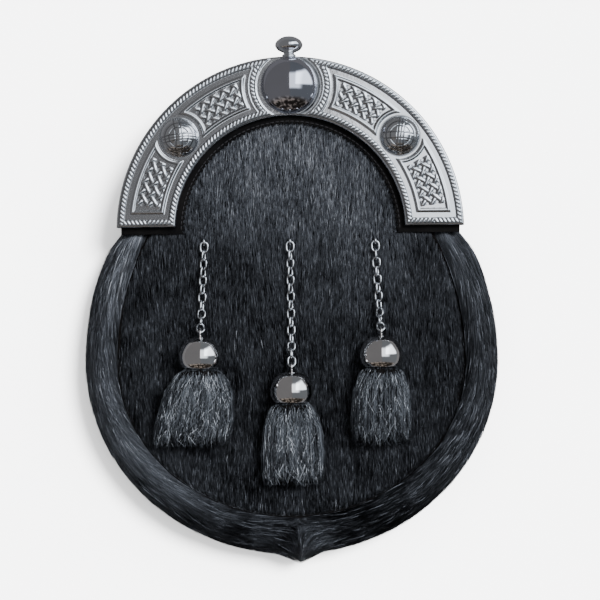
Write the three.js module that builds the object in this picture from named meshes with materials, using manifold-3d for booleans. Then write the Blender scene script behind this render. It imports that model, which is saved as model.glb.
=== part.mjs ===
// Full-dress sporran pouch, lying on its back with its front face up.
// Millimetres, +Z up out of the front, +Y toward the knob at the top.
// X and Y are first measured from the centre of the arched cantle's circles.
// At the end the group is moved so that its box stands centred on the origin.

import * as THREE from 'three';
import { mergeVertices } from 'three/addons/utils/BufferGeometryUtils.js';
import Module from 'manifold-3d';

const wasm = await Module();
wasm.setup();

// General sizes

const GAP = 0.3;
const SINK = 0.5;
const ARC_STEPS = 14;

// Cantle, the arched metal mount

const CANTLE_OUTER_R = 87;
const CANTLE_INNER_R = 57.5;
const CANTLE_END_Y = 2;
const CANTLE_DEPTH = 5.2;
const CANTLE_WALL = 1.3;
const RIM_DROP = 4.6;
const EDGE_MARGIN = 0.9;
const ROPE_WIDTH = 3.6;
const ROPE_HEIGHT = 1.3;
const ROPE_PITCH = 2.5;
const ROPE_SLANT = 1.6;
const CHANNEL_WIDTH = 2;
const END_CHANNEL = 1.2;
const PLATEAU_HEIGHT = 0.7;
const MEDALLION_R = 16.6;
const MEDALLION_LINE = 0.8;
const MEDALLION_LINE_HEIGHT = 0.9;
const MEDALLION_ROPE_WIDTH = 2.7;
const MEDALLION_SIDES = 32;
const FRAME_BORDER = 1.9;

// Knotwork inside the framed panels

const KNOT_PITCH = 5.4;
const KNOT_REACH = 5;
const STRAND_WIDTH = 2;
const STRAND_HEIGHT = 0.5;
const KNOT_CUT = 0.9;
const RIB_OVERHANG = 1.6;

// Domes and knob on the cantle

const CENTRE_DOME_R = 14.2;
const CENTRE_DOME_HEIGHT = 7.5;
const SIDE_DOME_R = 9.8;
const SIDE_DOME_HEIGHT = 5.2;
const SIDE_DOME_ANGLE = 49.7;
const DOME_FOOT = 0.8;
const DOME_BAND_WIDTH = 4;
const DOME_BAND_RISE = 0.6;
const KNOB_R = 6.9;
const KNOB_HEIGHT = 8.4;
const KNOB_NECK_R = 2.6;
const KNOB_COLLAR_R = 3.4;
const KNOB_STAND = 1.9;
const KNOB_PIN_R = 1.6;

// Pouch body

const LEATHER = 2.4;
const BACK_RECESS = 5;
const POUCH_DEPTH = 26;
const FRONT_WALL = 3;
const FRONT_CROWN = 3;
const CROWN_MARGIN = 7;
const BACKING_WALL = 1.5;
const BACKING_SHOW = 4.4;
const BACKING_END_SHOW = 3.5;
const BODY_DROP = 66;
const SEAM_HALF_WIDTH = 88.5;
const SEAM_BELOW = 79;
const SEAM_ABOVE = 111;
const SEAM_ARCH_R = 70;
const ROLL_SIDE = 15.7;
const ROLL_BELOW = 18.6;
const ROLL_ABOVE = 10;
const ROLL_TOP_Y = 1;
const ROLL_RISE = 3;
const ROLL_END_RUN = 30;
const LIP = 8;
const LOCK_RISE = 1;
const TUFT_REACH = 5;
const TUFT_OFFSET = 3.4;
const TUFT_HALF_WIDTH = 11;
const ROLL_STATIONS = 28;
const TOP_STATIONS = 14;
const PANEL_STATIONS = 18;

// Back closure and belt loops

const MOUTH_WIDTH = 84;
const MOUTH_HEIGHT = 14;
const MOUTH_Y = 34;
const FLAP_WALL = 2;
const FLAP_OVERLAP = 7;
const FLAP_DROP = 30;
const FLAP_CORNER_R = 18;
const STUD_UP = 10.8;
const STUD_HEAD_R = 6;
const STUD_HEAD_HEIGHT = 1.3;
const STUD_POST_R = 1.8;
const STUD_WASHER_R = 4;
const STUD_WASHER_HEIGHT = 1.3;
const LOOP_WIDTH = 13;
const LOOP_LENGTH = 40;
const LOOP_WALL = 1.8;
const LOOP_X = 52;
const LOOP_Y = -12;

// Tassels on chains

const CHAIN_SPACING = 43;
const WIRE = 1.1;
const LINK_LENGTH = 6.3;
const LINK_WIDTH = 4.7;
const LINK_BITE = 0.1;
const CHAIN_TOP_Y = -5.6;
const CAP_R = 10.7;
const CAP_HEIGHT = 15.5;
const CAP_WALL = 0.9;
const CAP_RING_R = 2;
const CAP_SIDES = 12;
const HAIR_HEAD_R = 8.2;
const HAIR_LENGTH = 40;
const HAIR_SPREAD = 18.5;
const HAIR_THICK = 9.4;
const HAIR_LOCKS = 10;
const HAIR_LOCK_DEPTH = 0.14;
const HAIR_LOCK_END = 1.6;

// A row for each tassel: how far across its chain hangs as a share of the spacing,
// how far sideways the chain has gone at its end as a share of a link's length, its
// links, the turn of its links about the chain at its start and end, and half the
// width of its hair's cut end and how far sideways that end has gone, as shares of
// the hair's spread.
const TASSELS = [
  { name: 'left', at: -1.01, drift: -0.32, links: 11, turn: 45, endTurn: 5, wide: 1, lean: -0.32 },
  { name: 'middle', at: -0.007, drift: 0.06, links: 15, turn: 35, endTurn: 15, wide: 0.81, lean: 0.02 },
  { name: 'right', at: 0.99, drift: 0.38, links: 11, turn: 5, endTurn: 45, wide: 0.78, lean: -0.03 },
];

// Chain route: share of the run from eye to cap, and share of the climb to the cap.
const CHAIN_ROUTE = [
  { run: 0, climb: 0 },
  { run: 0.25, climb: 0 },
  { run: 0.5, climb: 0 },
  { run: 0.68, climb: 0.12 },
  { run: 0.84, climb: 0.62 },
  { run: 0.94, climb: 0.96 },
  { run: 1.1, climb: 1 },
];

// Fur roll section, from its front lip round the outside to its back lip.
// out is the share of the roll's width, lip the share of the lip, up the share
// of the crest's height, seat the panel that the point lies under, and inside
// whether the hollow has a point behind it.
const ROLL_SECTION = [
  { out: 0, lip: 1, up: 0, seat: 'front', inside: true },
  { out: 0.01, lip: 0, up: 0, seat: 'front', inside: true },
  { out: 0.15, lip: 0, up: 0.965, seat: '', inside: false },
  { out: 0.42, lip: 0, up: 1, seat: '', inside: true },
  { out: 0.78, lip: 0, up: 0.84, seat: '', inside: true },
  { out: 1, lip: 0, up: 0.46, seat: '', inside: true },
  { out: 0.86, lip: 0, up: 0.12, seat: '', inside: false },
  { out: 0.6, lip: 0, up: 0, seat: '', inside: true },
  { out: 0.12, lip: 0, up: 0, seat: '', inside: true },
  { out: 0, lip: 1, up: 0, seat: 'back', inside: true },
];

// Leather top gusset section, with the same columns.
const TOP_SECTION = [
  { out: 0, lip: 1, up: 0, seat: 'front', inside: true },
  { out: 0.03, lip: 0, up: 0, seat: 'front', inside: true },
  { out: 0.05, lip: 0, up: 1, seat: '', inside: true },
  { out: 1, lip: 0, up: 1, seat: '', inside: true },
  { out: 1, lip: 0, up: 0, seat: '', inside: true },
  { out: 0.2, lip: 0, up: 0, seat: '', inside: true },
  { out: 0, lip: 1, up: 0, seat: 'back', inside: true },
];

// Domed cap profile, from the hem to the top: shares of its height and radius.
// inside is the walls that the hollow keeps from that point, or 0 for none there.
const CAP_PROFILE = [
  { up: 0, out: 0.87, inside: 1 },
  { up: 0.16, out: 0.97, inside: 0 },
  { up: 0.37, out: 1, inside: 1.3 },
  { up: 0.61, out: 0.91, inside: 0 },
  { up: 0.84, out: 0.66, inside: 1.5 },
];

// Knob profile, from its collar to its top: shares of its height and radius.
const KNOB_PROFILE = [
  { up: 0.04, out: 0.45 },
  { up: 0.16, out: 0.78 },
  { up: 0.36, out: 0.98 },
  { up: 0.55, out: 0.98 },
  { up: 0.78, out: 0.78 },
  { up: 0.94, out: 0.42 },
];

// Tassel hair rings, from the head inside the cap down to the cut ends.
// drop is the share of the length, head the share of the head's radius, wide the
// share of the way from the shoulder to the spread, deep of the thickness, rise the
// share of the cap's height above the panel that the ring keeps, and lock how deep
// the hollows between the locks are.
const HAIR_RINGS = [
  { drop: -0.13, head: 0.84, wide: 0, deep: 0.74, rise: 1, lock: 0 },
  { drop: 0.012, head: 0.86, wide: 0, deep: 0.76, rise: 1, lock: 0 },
  { drop: 0.045, head: 1.15, wide: 0, deep: 1, rise: 1, lock: 0.3 },
  { drop: 0.3, head: 1.15, wide: 0.4, deep: 0.98, rise: 0.55, lock: 0.8 },
  { drop: 0.65, head: 1.15, wide: 0.76, deep: 0.82, rise: 0.15, lock: 1 },
  { drop: 1, head: 1.15, wide: 1, deep: 0.66, rise: 0, lock: 1 },
];

// Heights that follow from the sizes

const backTop = BACK_RECESS + LEATHER;
const frontZ = backTop + POUCH_DEPTH;
const frontEdgeTop = frontZ + FRONT_WALL;
const backingZ = frontEdgeTop + GAP;
const cantleZ = backingZ + BACKING_WALL + GAP;
const plateTop = cantleZ + CANTLE_DEPTH;
const plateauTop = plateTop + PLATEAU_HEIGHT;
const rollCrest = frontEdgeTop + ROLL_RISE;
const bandMiddle = (CANTLE_OUTER_R + CANTLE_INNER_R) / 2;
const panelMargin = EDGE_MARGIN + ROPE_WIDTH + CHANNEL_WIDTH;
const panelOuterR = CANTLE_OUTER_R - panelMargin;
const panelInnerR = CANTLE_INNER_R + panelMargin;
const panelEndY = CANTLE_END_Y + EDGE_MARGIN + ROPE_WIDTH + END_CHANNEL + MEDALLION_LINE;
const gussetOuterR = CANTLE_OUTER_R - CANTLE_WALL - GAP;
const medallionRopeR = MEDALLION_R + MEDALLION_LINE;
const medallionOuterR = medallionRopeR + MEDALLION_ROPE_WIDTH;
const centreEndR = medallionOuterR + MEDALLION_LINE + CHANNEL_WIDTH;
const sideEndR = SIDE_DOME_R + CHANNEL_WIDTH;
const crownHalfWidth = SEAM_HALF_WIDTH - CROWN_MARGIN;
const crownHalfHeight = BODY_DROP + CANTLE_END_Y - BACKING_END_SHOW - GAP;
const knobZ = cantleZ + (CANTLE_DEPTH - RIM_DROP) / 2;
const flapTop = MOUTH_Y + MOUTH_HEIGHT / 2 + FLAP_OVERLAP;
const flapBottom = MOUTH_Y - MOUTH_HEIGHT / 2 - FLAP_DROP;
const studY = flapBottom + STUD_UP;
const flapZ = BACK_RECESS - GAP - FLAP_WALL;
const linkReach = LINK_LENGTH - WIRE;
const linkPitch = linkReach - WIRE + LINK_BITE;
const chainLift = GAP + LINK_WIDTH / 2;
const eyeHalf = WIRE + GAP;
const tassels = TASSELS.map((row) => ({
  ...row,
  x: row.at * CHAIN_SPACING,
  drift: row.drift * LINK_LENGTH,
  spread: row.wide * HAIR_SPREAD,
  lean: row.lean * HAIR_SPREAD,
}));
const eyeHoleR = eyeHalf + WIRE / 2 + 2 * GAP;

// Solids and meshes

function closedGeometry(points, faces) {
  let volume = 0;
  const cross = new THREE.Vector3();
  for (const [a, b, c] of faces) {
    volume += points[a].dot(cross.crossVectors(points[b], points[c]));
  }
  const geometry = new THREE.BufferGeometry();
  geometry.setFromPoints(points);
  geometry.setIndex(faces.flatMap(([a, b, c]) => (volume < 0 ? [a, c, b] : [a, b, c])));
  return geometry;
}

function solidOf(geometry) {
  const bare = geometry.clone();
  bare.deleteAttribute('normal');
  bare.deleteAttribute('uv');
  const merged = mergeVertices(bare, 0.0001);
  return new wasm.Manifold(new wasm.Mesh({
    numProp: 3,
    vertProperties: Float32Array.from(merged.attributes.position.array),
    triVerts: Uint32Array.from(merged.index.array),
  }));
}

function geometryOf(solid) {
  const mesh = solid.getMesh();
  const geometry = new THREE.BufferGeometry();
  const positions = Float32Array.from(mesh.vertProperties);
  geometry.setAttribute('position', new THREE.BufferAttribute(positions, 3));
  geometry.setIndex(new THREE.BufferAttribute(Uint32Array.from(mesh.triVerts), 1));
  return geometry;
}

function joined(solids) {
  return solids.reduce((whole, next) => whole.add(next));
}

// Sides between rings of points, with both ends closed over the same outline.
function loft(rings, outline) {
  const count = rings[0].length;
  const faces = [];
  for (let i = 0; i < rings.length - 1; i++) {
    for (let j = 0; j < count; j++) {
      const a = i * count + j;
      const b = i * count + (j + 1) % count;
      faces.push([a, b, b + count], [a, b + count, a + count]);
    }
  }
  const last = (rings.length - 1) * count;
  const turned = THREE.ShapeUtils.isClockWise(outline);
  for (const [a, p, q] of THREE.ShapeUtils.triangulateShape(outline, [])) {
    const [b, c] = turned ? [q, p] : [p, q];
    faces.push([a, c, b], [last + a, last + b, last + c]);
  }
  return closedGeometry(rings.flat(), faces);
}

function slab(shape, bottom, top, curveSegments) {
  const depth = top - bottom;
  const options = { depth, bevelEnabled: false, curveSegments };
  return new THREE.ExtrudeGeometry(shape, options).translate(0, 0, bottom);
}

function disc(x, y, radius, bottom, top, sides = 24) {
  return new THREE.CylinderGeometry(radius, radius, top - bottom, sides)
    .rotateX(Math.PI / 2)
    .translate(x, y, (top + bottom) / 2);
}

function degrees(value) {
  return THREE.MathUtils.degToRad(value);
}

// Half ring between two radii, cut level at its lower ends.
function bandSlab(innerR, outerR, endY, bottom, top) {
  const from = Math.asin(endY / outerR);
  const inside = Math.asin(endY / innerR);
  const shape = new THREE.Shape();
  shape.absarc(0, 0, outerR, from, Math.PI - from, false);
  shape.absarc(0, 0, innerR, Math.PI - inside, inside, true);
  return slab(shape, bottom, top, ARC_STEPS);
}

// Cantle relief

// Twisted rope moulding along a curve that gives a point and a normal at a length.
function rope(curve, length, width) {
  const beads = Math.round(length / ROPE_PITCH);
  const step = length / beads;
  const crown = plateTop + ROPE_HEIGHT;
  const rows = { outer: [], inner: [], outerFoot: [], innerFoot: [], crown: [] };
  for (let i = 0; i <= beads; i++) {
    const outer = curve(i * step + ROPE_SLANT / 2, width / 2);
    const inner = curve(i * step - ROPE_SLANT / 2, -width / 2);
    rows.outer.push(new THREE.Vector3(outer.x, outer.y, plateTop));
    rows.inner.push(new THREE.Vector3(inner.x, inner.y, plateTop));
    rows.outerFoot.push(new THREE.Vector3(outer.x, outer.y, plateTop - SINK));
    rows.innerFoot.push(new THREE.Vector3(inner.x, inner.y, plateTop - SINK));
    const high = curve((i + 0.5) * step, 0);
    rows.crown.push(new THREE.Vector3(high.x, high.y, crown));
  }
  rows.crown.pop();
  const points = Object.values(rows).flat();
  const count = beads + 1;
  const [outer, inner, outerFoot, innerFoot, high] = [0, 1, 2, 3, 4].map((n) => n * count);
  const faces = [];
  for (let i = 0; i < beads; i++) {
    const j = i + 1;
    faces.push([outer + i, high + i, outer + j], [inner + i, inner + j, high + i]);
    faces.push([outer + i, inner + i, high + i], [outer + j, high + i, inner + j]);
    faces.push([outer + i, outer + j, outerFoot + j], [outer + i, outerFoot + j, outerFoot + i]);
    faces.push([inner + i, innerFoot + j, inner + j], [inner + i, innerFoot + i, innerFoot + j]);
    faces.push([outerFoot + i, outerFoot + j, innerFoot + j]);
    faces.push([outerFoot + i, innerFoot + j, innerFoot + i]);
  }
  faces.push([outer, outerFoot, innerFoot], [outer, innerFoot, inner]);
  const [outerEnd, innerEnd] = [outer + beads, inner + beads];
  const [outerFootEnd, innerFootEnd] = [outerFoot + beads, innerFoot + beads];
  faces.push([outerEnd, innerFootEnd, outerFootEnd], [outerEnd, innerEnd, innerFootEnd]);
  return solidOf(closedGeometry(points, faces));
}

function arcCurve(x, y, radius, from, direction) {
  return (length, across) => {
    const angle = from + direction * length / radius;
    return {
      x: x + (radius + across) * Math.cos(angle),
      y: y + (radius + across) * Math.sin(angle),
    };
  };
}

function lineCurve(x, y) {
  return (length, across) => ({ x: x + length, y: y + across });
}

// Where the medallion circle meets a circle of the band, as an angle from the top.
function medallionCut(radius, reach) {
  const cosine = (radius ** 2 + bandMiddle ** 2 - reach ** 2) / (2 * radius * bandMiddle);
  return Math.acos(Math.min(1, cosine));
}

function ropes() {
  const outerR = CANTLE_OUTER_R - EDGE_MARGIN - ROPE_WIDTH / 2;
  const innerR = CANTLE_INNER_R + EDGE_MARGIN + ROPE_WIDTH / 2;
  const endY = CANTLE_END_Y + EDGE_MARGIN + ROPE_WIDTH / 2;
  const solids = [];
  for (const side of [1, -1]) {
    for (const radius of [outerR, innerR]) {
      const start = medallionCut(radius, medallionRopeR) + ROPE_SLANT / radius;
      const end = Math.PI / 2 - Math.asin(endY / radius);
      const curve = arcCurve(0, 0, radius, Math.PI / 2 - side * start, -side);
      solids.push(rope(curve, (end - start) * radius, ROPE_WIDTH));
    }
    const width = outerR - innerR - ROPE_WIDTH;
    const left = side > 0 ? innerR + ROPE_WIDTH / 2 : -outerR + ROPE_WIDTH / 2;
    solids.push(rope(lineCurve(left, endY), width, ROPE_WIDTH));
    const medallionR = (medallionRopeR + medallionOuterR) / 2;
    const half = Math.asin((outerR - innerR - ROPE_WIDTH) / 2 / medallionR);
    const from = side > 0 ? -half : Math.PI - half;
    const curve = arcCurve(0, bandMiddle, medallionR, from, 1);
    solids.push(rope(curve, 2 * half * medallionR, medallionOuterR - medallionRopeR));
  }
  return solids;
}

// Raised lines: round the medallion, and across the band above its end ropes.
function reliefLines() {
  const top = plateTop + MEDALLION_LINE_HEIGHT;
  const whole = solidOf(bandSlab(
    CANTLE_INNER_R + EDGE_MARGIN, CANTLE_OUTER_R - EDGE_MARGIN,
    CANTLE_END_Y + EDGE_MARGIN, plateTop - SINK, top,
  ));
  const between = solidOf(bandSlab(
    panelInnerR - CHANNEL_WIDTH, panelOuterR + CHANNEL_WIDTH, CANTLE_END_Y, plateTop - SINK, top,
  ));
  const ring = (radius) => {
    const sides = MEDALLION_SIDES;
    const outer = disc(0, bandMiddle, radius + MEDALLION_LINE, plateTop - SINK, top, sides);
    const inner = disc(0, bandMiddle, radius, plateTop - 2 * SINK, top + SINK, sides);
    return solidOf(outer).subtract(solidOf(inner));
  };
  return [whole.intersect(ring(MEDALLION_R)), between.intersect(ring(medallionOuterR))];
}

function alongBand(side, along, across) {
  const angle = Math.PI / 2 - side * along / bandMiddle;
  const radius = bandMiddle + across;
  return { x: radius * Math.cos(angle), y: radius * Math.sin(angle), turn: angle - Math.PI / 2 };
}

// Framed panels: four plateaus, with the ground between the strands cut away and
// a rib laid over each strand where it crosses above the other.
function panels() {
  const floor = plateTop - SINK;
  let plateau = solidOf(bandSlab(panelInnerR, panelOuterR, panelEndY, floor, plateauTop));
  plateau = plateau.subtract(solidOf(disc(0, bandMiddle, centreEndR, floor - 1, plateauTop + 1)));
  const sideAlong = degrees(SIDE_DOME_ANGLE) * bandMiddle;
  const stretches = [
    { start: centreEndR, end: sideAlong - sideEndR },
    { start: sideAlong + sideEndR, end: (Math.PI / 2 - Math.asin(panelEndY / bandMiddle)) * bandMiddle },
  ];
  const lean = Math.atan2(KNOT_REACH, KNOT_PITCH);
  const halfAlong = (KNOT_PITCH - STRAND_WIDTH / Math.sin(lean)) / 2;
  const halfAcross = (KNOT_REACH - STRAND_WIDTH / Math.cos(lean)) / 2;
  const pits = [];
  const ribs = [];
  for (const side of [1, -1]) {
    const centre = alongBand(side, sideAlong, 0);
    plateau = plateau.subtract(solidOf(disc(centre.x, centre.y, sideEndR, floor - 1, plateauTop + 1)));
    const pit = (along, across) => {
      const place = alongBand(side, along, across);
      const cone = new THREE.ConeGeometry(2, 1, 4);
      cone.rotateX(-Math.PI / 2).scale(halfAlong, halfAcross, 2 * KNOT_CUT);
      cone.rotateZ(place.turn).translate(place.x, place.y, plateauTop);
      pits.push(solidOf(cone));
    };
    const rib = (along, across, direction) => {
      const place = alongBand(side, along, across);
      const length = STRAND_WIDTH + RIB_OVERHANG;
      const bar = new THREE.CylinderGeometry(1, 1, length, 3).rotateZ(Math.PI / 2).rotateX(Math.PI / 2);
      const box = new THREE.Box3().setFromBufferAttribute(bar.attributes.position);
      bar.translate(0, 0, -box.min.z);
      const high = STRAND_HEIGHT + SINK;
      bar.scale(1, STRAND_WIDTH / (box.max.y - box.min.y), high / (box.max.z - box.min.z));
      bar.rotateZ(place.turn + side * direction * lean).translate(place.x, place.y, plateauTop - SINK);
      ribs.push(solidOf(bar));
    };
    for (const { start, end } of stretches) {
      const room = end - start - 2 * FRAME_BORDER;
      const repeats = Math.max(1, Math.floor(room / KNOT_PITCH));
      const first = (start + end - repeats * KNOT_PITCH) / 2;
      for (let i = 0; i <= repeats; i++) {
        const node = first + i * KNOT_PITCH;
        if (i > 0 && i < repeats) {
          rib(node, 0, 1);
          pit(node, KNOT_REACH / 2);
          pit(node, -KNOT_REACH / 2);
        }
        if (i < repeats) {
          const middle = node + KNOT_PITCH / 2;
          pit(middle, 0);
        }
      }
    }
  }
  for (const hole of pits) {
    plateau = plateau.subtract(hole);
  }
  return plateau.add(joined(ribs));
}

function knobHole(bottom, top, radius) {
  return new THREE.CylinderGeometry(radius, radius, top - bottom, 12)
    .translate(0, (top + bottom) / 2, knobZ);
}

function cantle() {
  const rimZ = cantleZ - RIM_DROP;
  const block = solidOf(bandSlab(CANTLE_INNER_R, CANTLE_OUTER_R, CANTLE_END_Y, rimZ, plateTop));
  const hollow = solidOf(bandSlab(
    CANTLE_INNER_R + CANTLE_WALL, CANTLE_OUTER_R - CANTLE_WALL,
    CANTLE_END_Y + CANTLE_WALL, rimZ - 1, plateTop - CANTLE_WALL,
  ));
  const below = solidOf(bandSlab(
    CANTLE_INNER_R - 1, CANTLE_OUTER_R - CANTLE_WALL, CANTLE_END_Y - 1, rimZ - 2, cantleZ,
  ));
  const hole = solidOf(knobHole(CANTLE_OUTER_R - 2 * CANTLE_WALL, CANTLE_OUTER_R + 1, KNOB_PIN_R + GAP));
  const shell = block.subtract(hollow).subtract(below).subtract(hole);
  return geometryOf(joined([shell, panels(), ...reliefLines(), ...ropes()]));
}

// Domes and knob

function dome(radius, height, sides, rings) {
  const profile = [];
  const ball = (radius ** 2 + height ** 2) / (2 * height);
  const reach = Math.asin(radius / ball);
  for (let i = 0; i <= rings; i++) {
    const angle = reach * (1 - i / rings);
    profile.push(new THREE.Vector2(
      i === rings ? 0 : ball * Math.sin(angle),
      DOME_FOOT + ball * Math.cos(angle) - ball + height,
    ));
  }
  profile.unshift(new THREE.Vector2(0, 0), new THREE.Vector2(radius, 0));
  return new THREE.LatheGeometry(profile, sides).rotateX(Math.PI / 2);
}

function centreDome() {
  const geometry = dome(CENTRE_DOME_R, CENTRE_DOME_HEIGHT, 24, 4);
  return geometryOf(solidOf(geometry.translate(0, bandMiddle, plateTop + GAP)));
}

// Side dome with a pair of bands that cross over it.
function sideDome(side) {
  const core = solidOf(dome(SIDE_DOME_R, SIDE_DOME_HEIGHT, 16, 3));
  const outer = solidOf(dome(SIDE_DOME_R, SIDE_DOME_HEIGHT + DOME_BAND_RISE, 16, 3));
  const bands = [];
  for (const turn of [1, -1]) {
    const bar = new THREE.BoxGeometry(3 * SIDE_DOME_R, DOME_BAND_WIDTH, 3 * SIDE_DOME_HEIGHT);
    bands.push(solidOf(bar.rotateZ(turn * Math.PI / 4)));
  }
  const place = alongBand(side, degrees(SIDE_DOME_ANGLE) * bandMiddle, 0);
  const whole = core.add(outer.intersect(joined(bands)));
  return geometryOf(whole.rotate([0, 0, place.turn * 180 / Math.PI])
    .translate([place.x, place.y, plateTop + GAP]));
}

function finial() {
  const seat = CANTLE_OUTER_R + GAP;
  const top = seat + KNOB_STAND + KNOB_HEIGHT;
  const profile = [
    new THREE.Vector2(0, CANTLE_OUTER_R - CANTLE_WALL - GAP),
    new THREE.Vector2(KNOB_PIN_R, CANTLE_OUTER_R - CANTLE_WALL - GAP),
    new THREE.Vector2(KNOB_PIN_R, seat),
    new THREE.Vector2(KNOB_COLLAR_R, seat),
    new THREE.Vector2(KNOB_COLLAR_R, seat + KNOB_STAND * 0.4),
    new THREE.Vector2(KNOB_NECK_R, seat + KNOB_STAND * 0.7),
  ];
  for (const { up, out } of KNOB_PROFILE) {
    profile.push(new THREE.Vector2(KNOB_R * out, seat + KNOB_STAND + KNOB_HEIGHT * up));
  }
  profile.push(new THREE.Vector2(0, top));
  return new THREE.LatheGeometry(profile, 12).translate(0, 0, knobZ);
}

// Pouch body

function smooth(value) {
  const share = Math.min(1, Math.max(0, value));
  return share * share * (3 - 2 * share);
}

// Points of the seam and of the silhouette, with the lower half of the pouch as
// half ellipses and the part behind the cantle as arcs. The middle station is
// moved across to the tuft.
function rollStations(count) {
  const endAngle = (half) => Math.asin((ROLL_TOP_Y + BODY_DROP) / half);
  const inner = { a: SEAM_HALF_WIDTH, up: SEAM_ABOVE, down: SEAM_BELOW };
  const outer = {
    a: SEAM_HALF_WIDTH + ROLL_SIDE,
    up: SEAM_ABOVE + ROLL_ABOVE,
    down: SEAM_BELOW + ROLL_BELOW,
  };
  const pointAt = (oval, share) => {
    const sweep = Math.PI + 2 * endAngle(oval.up);
    const angle = Math.PI - endAngle(oval.up) + share * sweep;
    const half = Math.sin(angle) > 0 ? oval.up : oval.down;
    return new THREE.Vector2(oval.a * Math.cos(angle), half * Math.sin(angle) - BODY_DROP);
  };
  const toTuft = TUFT_OFFSET / SEAM_HALF_WIDTH / (Math.PI + 2 * endAngle(inner.up));
  const stations = [];
  for (let i = 0; i <= count; i++) {
    const share = i / count + (2 * i === count ? toTuft : 0);
    stations.push({ seam: pointAt(inner, share), edge: pointAt(outer, share) });
  }
  return stations;
}

function topStations(count) {
  const level = ROLL_TOP_Y + GAP;
  const pointAt = (radius, share) => {
    const start = Math.asin(level / radius);
    const angle = start + share * (Math.PI - 2 * start);
    return new THREE.Vector2(radius * Math.cos(angle), radius * Math.sin(angle));
  };
  const stations = [];
  for (let i = 0; i <= count; i++) {
    stations.push({ seam: pointAt(SEAM_ARCH_R, i / count), edge: pointAt(gussetOuterR, i / count) });
  }
  return stations;
}

// Wall section across a station, as points of distance from the seam and height.
function wallSection(rows, width, crest, lift) {
  const outer = rows.map(({ out, lip, up, seat }, row) => {
    const raised = seat || up === 0 ? 0 : lift(row, out);
    const seats = { front: frontZ - GAP, back: BACK_RECESS - GAP - LEATHER };
    const height = seat ? seats[seat] : up * crest;
    return new THREE.Vector2(out * width - lip * LIP + raised * out, height + raised * up);
  });
  const plain = rows.map(({ out, lip, up, seat }) => {
    const seats = { front: frontZ - GAP, back: BACK_RECESS - GAP - LEATHER };
    return new THREE.Vector2(out * width - lip * LIP, seat ? seats[seat] : up * crest);
  });
  const hidden = plain.map((point, i) => {
    const before = plain[Math.max(0, i - 1)];
    const after = plain[Math.min(plain.length - 1, i + 1)];
    const first = point.clone().sub(i > 0 ? before : point);
    const second = (i < plain.length - 1 ? after : point).clone().sub(point);
    const one = (i > 0 ? first : second).clone().normalize();
    const two = (i < plain.length - 1 ? second : first).clone().normalize();
    const normal = new THREE.Vector2(one.y + two.y, -one.x - two.x).normalize();
    const spread = Math.max(0.6, normal.dot(new THREE.Vector2(one.y, -one.x)));
    return point.clone().addScaledVector(normal, LEATHER / spread);
  });
  const inner = hidden.filter((point, i) => rows[i].inside);
  return [...outer, ...inner.reverse()];
}

function wallLoft(stations, rows, crestAt, liftAt) {
  let outline;
  const rings = stations.map(({ seam, edge }, i) => {
    const outward = edge.clone().sub(seam);
    const width = outward.length();
    outward.normalize();
    const section = wallSection(rows, width, crestAt(seam, i), (row, out) => liftAt(i, row, seam, out));
    outline = section;
    return section.map(({ x, y }) => new THREE.Vector3(seam.x + outward.x * x, seam.y + outward.y * x, y));
  });
  return loft(rings, outline);
}

// Thick fur roll round the sides and bottom, in slanting locks, with its tuft.
function furGusset() {
  const stations = rollStations(ROLL_STATIONS);
  const endRun = (point) => smooth((point.y - ROLL_TOP_Y + ROLL_END_RUN) / (ROLL_END_RUN * 0.85));
  const crestAt = (seam) => rollCrest - (ROLL_RISE + GAP) * endRun(seam);
  const liftAt = (station, row, seam, out) => {
    const lock = LOCK_RISE * Math.cos(Math.PI * station + row * 0.9) * (1 - endRun(seam));
    const away = Math.abs(seam.x - TUFT_OFFSET) / TUFT_HALF_WIDTH;
    const tuft = seam.y < -BODY_DROP && away < 1 ? TUFT_REACH * (1 - away) : 0;
    return lock + tuft * out;
  };
  return wallLoft(stations, ROLL_SECTION, crestAt, liftAt);
}

function topGusset() {
  return wallLoft(topStations(TOP_STATIONS), TOP_SECTION, () => frontEdgeTop, () => 0);
}

// Outline of a panel that ends a little way inside the seam.
function panelOutline(inset, steps) {
  const points = [];
  const from = Math.asin((ROLL_TOP_Y + BODY_DROP) / SEAM_ABOVE);
  for (let i = 0; i <= steps; i++) {
    const angle = Math.PI - from + i / steps * (Math.PI + 2 * from);
    const half = (Math.sin(angle) > 0 ? SEAM_ABOVE : SEAM_BELOW) - inset;
    const wide = (SEAM_HALF_WIDTH - inset) * Math.cos(angle);
    points.push(new THREE.Vector2(wide, half * Math.sin(angle) - BODY_DROP));
  }
  const archSteps = Math.round(steps * 0.5);
  for (let i = 1; i < archSteps; i++) {
    const angle = i / archSteps * Math.PI;
    const radius = SEAM_ARCH_R - inset;
    points.push(new THREE.Vector2(radius * Math.cos(angle), radius * Math.sin(angle)));
  }
  return points;
}

function frontTopAt(x, y) {
  const across = x / crownHalfWidth;
  const down = (y + BODY_DROP) / crownHalfHeight;
  return frontEdgeTop + FRONT_CROWN * Math.max(0, 1 - across * across - down * down);
}

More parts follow.
